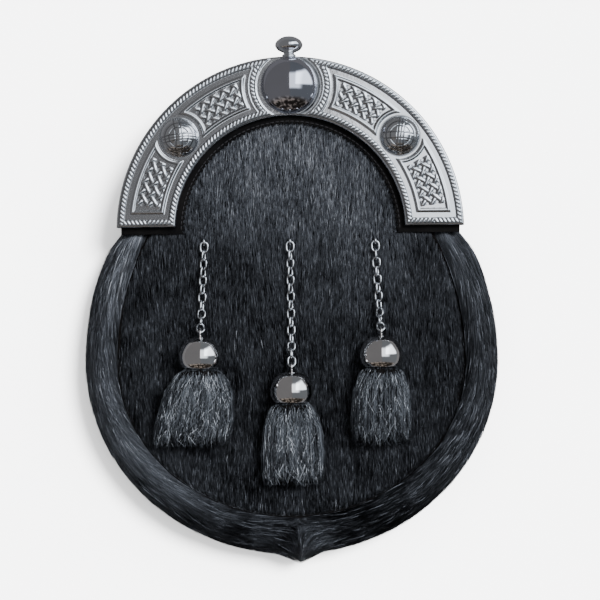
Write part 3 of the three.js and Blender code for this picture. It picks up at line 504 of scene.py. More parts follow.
def studio():
    """Dim room with a large pale ceiling panel to the right and a low soft box."""
    sky = Sky("studio")
    x, y, z = sky.way("X"), sky.way("Y"), sky.way("Z")
    room = 0.05 + 0.11 * z.between(-0.35, 0.1)
    front = y.between(-0.75, -0.5)
    panel = x.between(0.0, 0.035) * x.between(0.75, 0.5)
    panel = panel * y.between(-0.2, -0.05) * y.between(0.78, 0.62)
    box = x.between(0.3, 0.42) * y.between(0.05, 0.16) * y.between(0.8, 0.66) * z.between(0.0, 0.15)
    clutter = sky.noise(5, 2, 0.5, sky.direction()).between(0.48, 0.64)
    glow = room * (0.12 + 0.88 * front) + 1.62 * panel * z.between(0.0, 0.2) + 2.4 * box
    glow = glow + 0.3 * clutter * y.between(-0.5, -0.7)
    cool = sky.mix(x.between(0.0, 0.1), rgb(0.98, 0.98, 1.01), rgb(0.88, 0.96, 1.05))
    tint = sky.mix(front, rgb(1.0, 0.86, 0.74), cool)
    return sky.feed(Color=tint, Strength=glow)


def polished_metal(sizes):
    shader = Shader("polished_metal", Metallic=1.0)
    recess = shader.attribute("recess")
    haze = shader.noise(900, 4, 0.6)
    # Painted shade: a noise mottles the darkness that the relief's vertex attribute paints into the
    # metal in recesses, grooves, under the rims and beside raised strands.
    shade_mottle = shader.noise(160, 4, 0.65)
    dark = (recess * (0.65 + shade_mottle * 0.7)).math("MINIMUM", 1)
    color = shader.mix(dark, (*sizes.metal_color, 1), rgb(0.014, 0.014, 0.017))
    roughness = 0.06 + haze * 0.05 + dark * 0.25
    grain = shader.bump(haze + shader.noise(420, 2, 0.5) * 2, 0.16, 0.05)
    return shader.feed(Base_Color=color, Roughness=roughness, Normal=grain)


def plain_metal(name, color):
    shader = Shader(name, Metallic=1.0)
    haze = shader.noise(700, 4, 0.6)
    film = shader.noise(90, 3, 0.5)
    color = shader.mix(film.between(0.35, 0.8) * 0.25, rgb(*color), rgb(0.5, 0.5, 0.51))
    return shader.feed(Base_Color=color, Roughness=0.045 + haze * 0.05)


def black_leather():
    shader = Shader("black_leather", Specular_IOR_Level=0.04)
    cells = shader.node("ShaderNodeTexVoronoi", {"feature": "DISTANCE_TO_EDGE"},
                        {"Vector": shader.place(), "Scale": 900.0})
    fine = shader.noise(2400, 3, 0.6)
    wear = shader.noise(70, 5, 0.6)
    pores = cells.between(0.0, 0.12)
    color = shader.ramp(wear, (0.3, (0.0004, 0.0004, 0.0005)), (0.8, (0.002, 0.0019, 0.0019)))
    normal = shader.bump(pores * 0.7 + fine * 0.3, 0.35, 0.12)
    return shader.feed(Base_Color=color, Roughness=0.46 + wear * 0.2, Normal=normal)


def waxed_thread():
    shader = Shader("waxed_thread", Specular_IOR_Level=0.12)
    fine = shader.noise(3000, 3, 0.6)
    color = shader.ramp(fine, (0.3, (0.003, 0.003, 0.0034)), (0.75, (0.012, 0.012, 0.013)))
    return shader.feed(Base_Color=color, Roughness=0.45 + fine * 0.2)


def hair_coat(name, dark, middle, pale):
    """Hair coloured by each hair's tone, into which painted sheen and shade are mixed, with a soft
    gloss.
    """
    shader = Shader(name, Specular_IOR_Level=0.09)
    tone = shader.attribute("tone")
    drift = shader.noise(60, 3, 0.5)
    level = tone + (drift - 0.5) * 0.3
    color = shader.ramp(level, (0.0, dark), (0.55, middle), (1.0, pale))
    return shader.feed(Base_Color=color, Roughness=0.34 + drift * 0.2)


# Near-black hide under the fur; the same material paints the shade inside the tassels' hair.
def hide_under_fur():
    shader = Shader("hide_under_fur", Specular_IOR_Level=0.02)
    patch = shader.noise(300, 4, 0.6)
    color = shader.ramp(patch, (0.3, (0.0005, 0.0005, 0.0005)), (0.8, (0.0018, 0.0016, 0.0016)))
    return shader.feed(Base_Color=color, Roughness=0.8 + patch * 0.15)


# Cantle's relief

def plait(s, v, first, repeats):
    """Height of a four-strand plait along s, from first, about v = 0, and its outline: painted
    shade beside the strands.
    """
    spacing = 1 / math.hypot(1 / KNOT_PITCH, 1 / KNOT_REACH)
    phase = (s - first) / KNOT_PITCH
    a, b = phase + v / KNOT_REACH, phase - v / KNOT_REACH
    near_a, near_b = np.round(a), np.round(b)
    off_a, off_b = np.abs(a - near_a) * spacing, np.abs(b - near_b) * spacing
    a_over = np.mod(near_a + near_b, 2) == 0

    def strand(off, other, over):
        body = ramp(1 - off / STRAND_HALF, 0.0, 0.6)
        level = 1 + np.where(over, 0.3, -0.75) * (1 - ramp(other, 1.0, 1.9))
        return np.where(off < STRAND_HALF, body, 0) * level

    high = np.maximum(strand(off_a, off_b, a_over), strand(off_b, off_a, ~a_over))
    beside = np.minimum(off_a, off_b) - STRAND_HALF
    # Painted shade beside each strand, faded where another strand lies over it.
    outline = bell(beside, 0.05, 0.32) * (1 - ramp(high, 0.2, 0.6))
    inside = (np.abs(v) < KNOT_REACH + 0.75) & (phase > -0.12) & (phase < repeats + 0.12)
    return np.where(inside, high, 0), np.where(inside, outline, 0)


def rope_beads(across, along, lean):
    """Twisted rope, 0 to 1, from -1 to 1 across it."""
    bead = np.abs(np.sin(math.pi * (along / ROPE_PITCH + lean * across)))
    return ramp(1 - np.abs(across), 0.05, 0.5) * ramp(bead, 0.1, 0.75)


def relief(x, y):
    """Height over the cantle's plate at points x, y, and painted shade there: darkness in recesses,
    grooves, between rope beads, beside raised strands and round the domes.
    """
    height, dark = np.zeros_like(x), np.zeros_like(x)

    def lay(where, new_height, new_dark):
        nonlocal height, dark
        height = np.where(where, new_height, height)
        dark = np.where(where, new_dark, dark)

    r = np.hypot(x, y)
    angle = np.arctan2(x, y)
    s, v = angle * BAND_R, r - BAND_R
    to_end = y - END_Y
    m = np.hypot(x, y - BAND_R)
    dome_x, dome_y = BAND_R * math.sin(SIDE_DOME_ANGLE), BAND_R * math.cos(SIDE_DOME_ANGLE)
    n = np.hypot(np.abs(x) - dome_x, y - dome_y)
    edge = np.minimum(np.minimum(OUTER_R - r, r - INNER_R), to_end)
    at_end = to_end <= edge + 1e-6
    rope_r = np.where(v > 0, OUTER_R - ROPE_INSET, INNER_R + ROPE_INSET)
    along = np.where(at_end, x, angle * rope_r)
    rope_across = (edge - EDGE) / ROPE_WIDTH * 2 - 1
    rope = rope_beads(rope_across, along, np.where(v > 0, 1, -1) * 0.45)

    medallion_rope_r = MEDALLION_R + MEDALLION_LINE
    medallion_outer = medallion_rope_r + MEDALLION_ROPE
    panel_start = medallion_outer + MEDALLION_LINE + CHANNEL
    border = EDGE + ROPE_WIDTH + EDGE_CHANNEL
    d = np.minimum.reduce([
        edge - np.where(at_end, 0.2, 0) - border, m - panel_start, n - SIDE_DOME_R - CHANNEL])

    lip = -0.9 * (1 - np.sqrt(np.clip(1 - (1 - np.clip(edge / EDGE, 0, 1)) ** 2, 0, 1)))
    lay(edge <= EDGE, lip, 0.0)
    in_rope = (np.abs(rope_across) < 1) & (m > medallion_rope_r)
    lay(in_rope, 0.24 * ROPE_HEIGHT * rope, 0.9 * (1 - ramp(rope, 0.05, 0.4)))
    border_top = 0.5 * ramp(d, -0.3, 0.55) - 0.3 * ramp(d, 1.15, 1.8)
    lay(d > -0.3, border_top, 0.7 * bell(d, 1.6, 0.3) + 0.6 * bell(d, -0.1, 0.25))

    side_along = SIDE_DOME_ANGLE * BAND_R
    side_end = SIDE_DOME_R + CHANNEL
    end_along = (math.pi / 2 - math.asin((END_Y + border + 0.2) / BAND_R)) * BAND_R
    in_panel = d > FRAME_BORDER
    for start, stop in ((panel_start, side_along - side_end), (side_along + side_end, end_along)):
        repeats = max(1, int((stop - start - 2 * FRAME_BORDER) // KNOT_PITCH))
        first = (start + stop - repeats * KNOT_PITCH) / 2
        knot, outline = plait(np.abs(s), v * np.sign(s), first, repeats)
        here = in_panel & (np.abs(s) > start) & (np.abs(s) < stop)
        height = np.where(here & (knot > 0), 0.24 + 0.27 * knot, height)
        dark = np.where(here, 0.9 * outline, dark)

    between = edge > EDGE + ROPE_WIDTH - 0.4
    on_plate = edge > EDGE * 0.8
    arc_across = (m - medallion_rope_r) / MEDALLION_ROPE * 2 - 1
    arc_along = np.arctan2(y - BAND_R, x) * (medallion_rope_r + MEDALLION_ROPE / 2)
    arc_rope = rope_beads(arc_across, arc_along, 0.3)
    in_arc = (np.abs(arc_across) < 1) & between
    lay(in_arc, 0.3 * arc_rope, 0.85 * (1 - ramp(arc_rope, 0.05, 0.4)))
    half_line = MEDALLION_LINE / 2
    for radius, keep in ((MEDALLION_R, on_plate), (medallion_outer, between)):
        line = np.clip(1 - (np.abs(m - radius - half_line) / half_line) ** 2, 0, 1) ** 0.5
        lay((line > 0) & keep, LINE_HEIGHT * line, 0.2 * (1 - line))
    # Painted contact shadow round the large dome, stronger on its right side.
    lay((m < MEDALLION_R) & on_plate, 0, 0.95 * ramp(x, -3, 9) * bell(m, SHADOW_RING_R, 0.9))
    # Painted contact shadow round the small domes.
    return height, np.maximum(dark, 0.7 * bell(n - SIDE_DOME_R, 0.25, 0.35))


def cantle_plate(fine):
    """Arched plate from a bent grid with its relief, and its turned-down rims."""
    across = int((OUTER_R - INNER_R) / fine)
    along = int(math.pi * BAND_R / fine)
    bm = bmesh.new()
    bmesh.ops.create_grid(bm, x_segments=along, y_segments=across, size=1)
    bm.verts.ensure_lookup_table()
    grid = np.array([v.co for v in bm.verts])
    share, lane = (grid[:, 0] + 1) / 2, (grid[:, 1] + 1) / 2
    r = INNER_R + (OUTER_R - INNER_R) * lane
    start = np.arcsin(END_Y / r)
    angle = math.pi - start - share * (math.pi - 2 * start)
    x, y = r * np.cos(angle), r * np.sin(angle)
    height, dark = relief(x, y)
    # This layer carries the relief's painted shade.
    depth = bm.verts.layers.float.new("recess")
    rims = [e for e in bm.edges if e.is_boundary]
    for vert, px, py, h, shade in zip(bm.verts, x, y, height, dark):
        vert.co = (px, py, PLATE_TOP + h)
        vert[depth] = shade
    # The turned-down rims get painted shade, more the further under the plate they go.
    grown = bmesh.ops.extrude_edge_only(bm, edges=rims)["geom"]
    for vert in new_verts(grown):
        radius = math.hypot(vert.co.x, vert.co.y)
        vert.co.z = CANTLE_LOW[2] if radius > OUTER_R - 1 else INNER_RIM_LOW
        vert[depth] = 0.15
    inward = bmesh.ops.extrude_edge_only(bm, edges=open_edges(grown))["geom"]
    for vert in new_verts(inward):
        radius = math.hypot(vert.co.x, vert.co.y)
        shift = CANTLE_WALL if radius < BAND_R else -CANTLE_WALL
        if abs(radius - BAND_R) < (OUTER_R - INNER_R) / 2 - 1:
            vert.co.y += CANTLE_WALL
        else:
            vert.co.x += shift * vert.co.x / radius
            vert.co.y += shift * vert.co.y / radius
        vert[depth] = 0.6
    roof = bmesh.ops.extrude_edge_only(bm, edges=open_edges(inward))["geom"]
    for vert in new_verts(roof):
        vert.co.z = PLATE_UNDER
        vert[depth] = 0.9
    bmesh.ops.contextual_create(bm, geom=open_edges(roof))
    bmesh.ops.recalc_face_normals(bm, faces=bm.faces)
    return bm


def dome_profile(radius, height, foot, steps):
    """Rows of a dome on a low upright foot, for lathe."""
    ball = (radius ** 2 + height ** 2) / (2 * height)
    reach = math.asin(min(1, radius / ball))
    rows = [(0, 0), (radius - 0.25, 0), (radius, 0.25), (radius, foot)]
    for i in range(1, steps + 1):
        angle = reach * (1 - i / steps)
        rows.append((ball * math.sin(angle) if i < steps else 0,
                     foot + ball * math.cos(angle) - ball + height))
    return rows


class SPORRAN_PG_metal(bpy.types.PropertyGroup):
    """Sizes and colours of the metal"""
    metal_color: FloatVectorProperty(
        name="Metal colour", description="Colour of the polished metal",
        subtype="COLOR", size=3, min=0, max=1, default=(0.83, 0.845, 0.87))
    # Painted reflection: the large dome's metal is a darker, bluer copy of the same metal, standing
    # for the dim room it reflects.
    dome_reflection_tint: FloatVectorProperty(
        name="Dome tint", description="Share of the metal's colour that the large dome has",
        subtype="COLOR", size=3, min=0, max=1, default=(0.74, 0.73, 0.79))
    # Painted reflection: the caps' metal is a brighter, warmer copy of the same metal, standing for
    # the brighter, warmer room they reflect.
    cap_reflection_tint: FloatVectorProperty(
        name="Cap tint", description="Share of the metal's colour that the tassels' caps have",
        subtype="COLOR", size=3, min=0, max=1.15, default=(1.14, 1.08, 1.03))
    relief_step: FloatProperty(
        name="Relief step", description="Spacing of the cantle's mesh in millimetres",
        default=0.36, min=0.25, max=2)
    centre_dome_r: FloatProperty(
        name="Centre dome radius", description="Radius of the large dome in millimetres",
        default=14.2, min=5, max=16)
    centre_dome_height: FloatProperty(
        name="Centre dome height", description="Height of the large dome in millimetres",
        default=7.5, min=1, max=12)
    side_dome_height: FloatProperty(
        name="Side dome height", description="Height of the small domes in millimetres",
        default=5.2, min=1, max=9)
    wire_sides: IntProperty(
        name="Wire sides", description="Sides of the links' wire", default=8, min=4, max=16)


class SPORRAN_PG_fur(bpy.types.PropertyGroup):
    """Amount, length and width of the fur"""
    front_hairs: IntProperty(
        name="Front hairs", description="Hairs on each half of the front",
        default=39000, min=100, max=49000)
    front_length: FloatProperty(
        name="Front hair length", description="Length of the front's hair in millimetres",
        default=6.6, min=3, max=30)
    roll_hairs: IntProperty(
        name="Roll hairs", description="Short hairs on each side of the roll",
        default=28500, min=100, max=36000)
    roll_length: FloatProperty(
        name="Roll hair length", description="Length of the roll's hair in millimetres",
        default=14, min=3, max=30)
    tassel_hairs: IntProperty(
        name="Tassel hairs", description="Hairs in each tassel", default=9000, min=100, max=12000)
    hair_width: FloatProperty(
        name="Hair width", description="Width of a lock of fur in millimetres",
        default=0.32, min=0.05, max=2)


class SPORRAN_PG_stage(bpy.types.PropertyGroup):
    """Camera, floor and light"""
    camera_height: FloatProperty(
        name="Camera height", description="Height of the camera over the cantle",
        default=1.2, min=0.5, max=5, unit="LENGTH")
    camera_turn: FloatProperty(
        name="Camera turn", description="Turn of the camera about its view",
        default=math.radians(0.5), subtype="ANGLE")
    field: FloatProperty(
        name="Field", description="Width seen at the cantle's height",
        default=0.3, min=0.1, max=1, unit="LENGTH")
    key_power: FloatProperty(
        name="Key light", description="Strength of the key light", default=17, min=0, max=40)


def settings():
    scene = bpy.context.scene
    return scene.sporran_metal, scene.sporran_fur, scene.sporran_stage


def material_named(name, make, *args):
    return bpy.data.materials.get(name) or make(*args)


def metal_relief():
    return material_named("polished_metal", polished_metal, settings()[0])


def tinted_metal(name, tint):
    color = [channel * share for channel, share in zip(settings()[0].metal_color, tint)]
    return material_named(name, plain_metal, name, color)


def metal_plain():
    return tinted_metal("plain_metal", (1, 1, 1))


def leather_material():
    return material_named("black_leather", black_leather)


def thread_material():
    return material_named("waxed_thread", waxed_thread)


def hide_and_core_shade_material():
    return material_named("hide_under_fur", hide_under_fur)


class SPORRAN_OT_cantle(bpy.types.Operator):
    """Arched metal mount with its ropes, frames and knotwork"""
    bl_idname = "sporran.cantle"
    bl_label = "Cantle"

    def execute(self, context):
        plate = cantle_plate(settings()[0].relief_step)
        finish_piece("cantle_arch", plate, metal_relief(), "cantle")
        return {"FINISHED"}


class SPORRAN_OT_domes(bpy.types.Operator):
    """Domes and knob on the cantle"""
    bl_idname = "sporran.domes"
    bl_label = "Domes and knob"

    def execute(self, context):
        metal = settings()[0]
        place = Matrix.Translation((0, BAND_R, PLATE_TOP + GAP))
        rows = dome_profile(metal.centre_dome_r, metal.centre_dome_height, DOME_FOOT, 18)
        finish_piece("dome_centre", lathe(rows, 72, place),
                     tinted_metal("dome_metal", metal.dome_reflection_tint), "centre_dome")
        for side, name in ((-1, "left"), (1, "right")):
            self.side_dome(side, name, metal)
        self.knob()
        return {"FINISHED"}

    def side_dome(self, side, name, metal):
        """Dome with two crossing bands and a ring, all edged by grooves, with painted shade in the
        grooves and between the bands.
        """
        def groove_at(off):
            return math.exp(-(off / GROOVE_WIDTH) ** 2)

        def band(off, low, high):
            return 1 - float(ramp(off, low, high))

        angle = side * SIDE_DOME_ANGLE
        place = Matrix.Translation(
            (BAND_R * math.sin(angle), BAND_R * math.cos(angle), PLATE_TOP + GAP))
        bm = lathe(dome_profile(SIDE_DOME_R, metal.side_dome_height, DOME_FOOT, 36), 108)
        depth = bm.verts.layers.float.new("recess")
        for vert in bm.verts:
            x, y = vert.co.x, vert.co.y
            if vert.co.z <= DOME_FOOT + 0.05:
                vert[depth] = 0.05
                continue
            u, w = (x + y) / math.sqrt(2), (x - y) / math.sqrt(2)
            first = abs(u - BAND_BEND * side * w * w)
            second = abs(w - BAND_BEND * side * u * u)
            ring = abs(math.hypot(x, y) - DOME_RING_R)
            raised = max(band(first, 1.9, 2.3), band(second, 1.9, 2.3), band(ring, 0.9, 1.3))
            groove = max(groove_at(first - 1.5), groove_at(second - 1.5), 0.7 * groove_at(first),
                         groove_at(ring - 1.05))
            inside = band(math.hypot(x, y), SIDE_DOME_R - 1.4, SIDE_DOME_R - 0.9)
            vert.co.z += (0.34 * raised - 0.24 * groove) * inside
            vert[depth] = (0.75 * groove + 0.1 * (1 - raised)) * inside
        bmesh.ops.transform(bm, matrix=place @ Matrix.Rotation(-angle, 4, "Z"), verts=bm.verts)
        finish_piece(f"dome_{name}", bm, metal_relief(), f"side_dome_{name}")

    def knob(self):
        knob = catmull([(3.1, 2.0), (5.4, 3.1), (6.8, 4.9), (6.8, 6.6), (5.5, 8.4), (3.0, 9.8),
                        (0.05, 10.3)], 26)
        rows = [(0, -1.6), (1.6, -1.6), (1.6, 0), (3.4, 0), (3.5, 0.35), (3.3, 0.8), (2.6, 1.3),
                (2.6, 1.7), *knob[:-1], (0, 10.3)]
        axis = FRONT_EDGE_TOP + GAP + BACKING_WALL + GAP + KNOB_RISE
        place = Matrix.Translation((0, OUTER_R + GAP, axis)) @ TIPPED
        finish_piece("knob", lathe(rows, 56, place), metal_plain(), "finial")


def link_path(count):
    """Points of a link's wire centre, in its own plane, longest along Y."""
    radius = (LINK_WIDTH - WIRE) / 2
    straight = (LINK_LENGTH - WIRE) / 2 - radius
    half = count // 2
    points = []
    for side, start in ((1, 0), (-1, math.pi)):
        for i in range(half + 1):
            angle = start + i / half * math.pi
            points.append((radius * math.cos(angle),
                           radius * math.sin(angle) + side * max(0, straight), 0))
    return points


def chain_places(tassel):
    """Middles and directions of a chain's links, and where its cap hangs."""
    reach = LINK_LENGTH - WIRE
    pitch = reach - WIRE + LINK_BITE
    run = tassel["links"] * pitch
    first = CHAIN_TOP_Y - reach / 2
    lift, climb_to = GAP + LINK_WIDTH / 2, CAP_R - LINK_WIDTH / 2
    route = []
    for share, climb in CHAIN_ROUTE:
        x, y = tassel["x"] + tassel["drift"] * share, first - run * share
        route.append((x, y, float(front_top(x, y)) + lift + climb * climb_to))
    curve = catmull(route, 400)
    length = run_lengths(curve)
    ways = np.gradient(curve, axis=0)
    ways /= np.linalg.norm(ways, axis=1, keepdims=True)
    at = [np.searchsorted(length, i * pitch) for i in range(tassel["links"])]
    middles, along = curve[at], ways[at]
    hook = middles[-1] + along[-1] * reach / 2
    return middles, along, hook


def cap_place(tassel):
    """Middle of the open rim of a tassel's cap."""
    hook = chain_places(tassel)[2]
    z = float(front_top(hook[0], hook[1] - CAP_HEIGHT)) + CAP_R + GAP
    return np.array([hook[0], hook[1] + WIRE + GAP - 2 * CAP_RING_R - CAP_HEIGHT + WIRE / 4, z])


class SPORRAN_OT_chains(bpy.types.Operator):
    """Chains, their eyes and the tassels' caps"""
    bl_idname = "sporran.chains"
    bl_label = "Chains and caps"

    def execute(self, context):
        for tassel in TASSELS:
            self.chain(tassel)
            self.eye(tassel)
            self.cap(tassel)
        return {"FINISHED"}

    def chain(self, tassel):
        sides = settings()[0].wire_sides
        middles, ways = chain_places(tassel)[:2]
        last = len(middles) - 1
        links = []
        for i, (middle, along) in enumerate(zip(middles, ways)):
            along = Vector(along)
            side = along.cross(Vector((0, 0, 1))).normalized()
            up = side.cross(along)
            turned = tassel["turn"] + (tassel["end_turn"] - tassel["turn"]) * i / last
            roll = math.radians(turned) * min(1, i / 2, (last - i) / 2) + (i % 2) * math.pi / 2
            normal = up * math.cos(roll) + side * math.sin(roll)
            across = along.cross(normal)
            turn = Matrix((across, along, normal)).transposed().to_4x4()
            link = wire_tube(link_path(24), WIRE / 2, sides, closed=True)
            bmesh.ops.transform(link, matrix=Matrix.Translation(middle) @ turn, verts=link.verts)
            links.append(mesh_of(link, "link"))
        finish_piece(f"links_{tassel['name']}", joined(links), metal_plain(),
                     f"chain_{tassel['name']}")

    def eye(self, tassel):
        x = tassel["x"]
        z = float(front_top(x, CHAIN_TOP_Y)) + GAP + LINK_WIDTH / 2
        half = WIRE + GAP
        under = FRONT_LOW[2] - GAP - WIRE / 2
        rows = [(-half * 2.6, under), (-half * 1.4, under), (-half, under + WIRE), (-half, z)]
        rows += [(half * math.sin(a), z + half * math.cos(a)) for a in np.linspace(-1.3, 1.3, 7)]
        rows += [(half, z), (half, under + WIRE), (half * 1.4, under), (half * 2.6, under)]
        curve = catmull([(x, CHAIN_TOP_Y + y, height) for y, height in rows], 40)
        finish_piece(f"eye_{tassel['name']}", wire_tube(curve, WIRE / 2, 12), metal_plain(),
                     f"chain_eye_{tassel['name']}")

    def cap(self, tassel):
        place = cap_place(tassel)
        h, r = CAP_HEIGHT, CAP_R
        outer = catmull([
            (0.83 * r, 0.0), (0.955 * r, 0.15 * h), (r, 0.39 * h), (0.92 * r, 0.61 * h),
            (0.7 * r, 0.84 * h), (0.36 * r, 0.965 * h), (0.1, h)], 34)
        inner = catmull([
            (0.3, h - 1.2), (0.34 * r, 0.94 * h - 1), (0.7 * r - 1, 0.82 * h - 1),
            (0.93 * r - 1, 0.6 * h), (r - 1.1, 0.4 * h), (0.955 * r - 1.1, 0.15 * h),
            (0.83 * r - 0.9, 0.0)], 20)
        rows = [(0, h - 1.2), *inner, (0.83 * r - 0.45, -0.3), *outer[:-1], (0, h)]
        shell = lathe(rows, 64, Matrix.Translation(place) @ TIPPED)
        ring_y = place[1] + h + CAP_RING_R - WIRE / 4
        ring = [(place[0], ring_y + CAP_RING_R * math.sin(a), place[2] + CAP_RING_R * math.cos(a))
                for a in np.linspace(0, 2 * math.pi, 24, endpoint=False)]
        ring = wire_tube(ring, WIRE / 2, 12, closed=True)
        cap = joined([mesh_of(shell, "shell"), mesh_of(ring, "ring")])
        look = tinted_metal("cap_metal", settings()[0].cap_reflection_tint)
        finish_piece(f"cap_{tassel['name']}", cap, look, f"tassel_cap_{tassel['name']}")


# Leather

def outline_slab(points, bottom, top, bevel, holes=()):
    """Flat leather piece from an outline, with rounded edges."""
    bm = bmesh.new()
    loops = []
    for ring in (points, *holes):
        loops += ring_edges(bm, [bm.verts.new((x, y, bottom)) for x, y in ring])
    bmesh.ops.triangle_fill(bm, edges=loops, use_beauty=True)
    thicken(bm, (0, 0, top - bottom))
    rims = [e for e in bm.edges if len(e.link_faces) == 2 and e.calc_face_angle() > 1]
    sharp = [e for e in rims if abs(e.verts[0].co.z - e.verts[1].co.z) < 1e-4]
    bmesh.ops.bevel(bm, geom=sharp, offset=bevel, segments=3, profile=0.5, affect="EDGES",
                    material=-1, clamp_overlap=True)
    bmesh.ops.recalc_face_normals(bm, faces=bm.faces)
    return bm


def stitch_row(points, spacing, length, radius, top):
    """Short raised stitches along a line of points."""
    line = np.array([(x, y, 0.0) for x, y in points])
    lengths = run_lengths(line)
    count = max(2, int(lengths[-1] / spacing))
    stitches = []
    for i in range(count):
        at = (i + 0.5) / count * lengths[-1]
        ends = [at + k * length / 2 for k in (-1, -0.5, 0, 0.5, 1)]
        ways = [np.interp(ends, lengths, line[:, k]) for k in (0, 1)]
        rise = (-radius * 0.8, radius * 0.25, radius * 0.5, radius * 0.25, -radius * 0.8)
        path = [(x, y, top + z) for x, y, z in zip(*ways, rise)]
        stitches.append(mesh_of(wire_tube(path, radius, 4), "stitch"))
    return joined(stitches)


def arc_points(radius, start, end, count, y=0.0):
    return [(radius * math.cos(a), y + radius * math.sin(a))
            for a in np.linspace(start, end, count)]


def hole_points(radius, x, y):
    return [(x + px, py) for px, py in arc_points(radius, 0, 2 * math.pi, 17, y)[:-1]]


def half_ring(inner, outer, end_y, steps):
    """Outer arc and then inner arc of an arch whose ends are at end_y."""
    low_out, low_in = math.asin(end_y / outer), math.asin(end_y / inner)
    return (arc_points(outer, low_out, math.pi - low_out, steps)
            + arc_points(inner, math.pi - low_in, low_in, steps))


def panel_outline(inset, steps):
    """Outline of the front and back panels, inset from the seam."""
    start = math.asin((ROLL_TOP_Y + BODY_DROP) / SEAM_ABOVE)
    points = []
    for angle in np.linspace(math.pi - start, 2 * math.pi + start, steps):
        half = (SEAM_ABOVE if math.sin(angle) > 0 else SEAM_BELOW) - inset
        points.append(((SEAM_HALF - inset) * math.cos(angle), half * math.sin(angle) - BODY_DROP))
    return points + arc_points(SEAM_ARCH_R - inset, 0, math.pi, steps // 2 + 2)[1:-1]


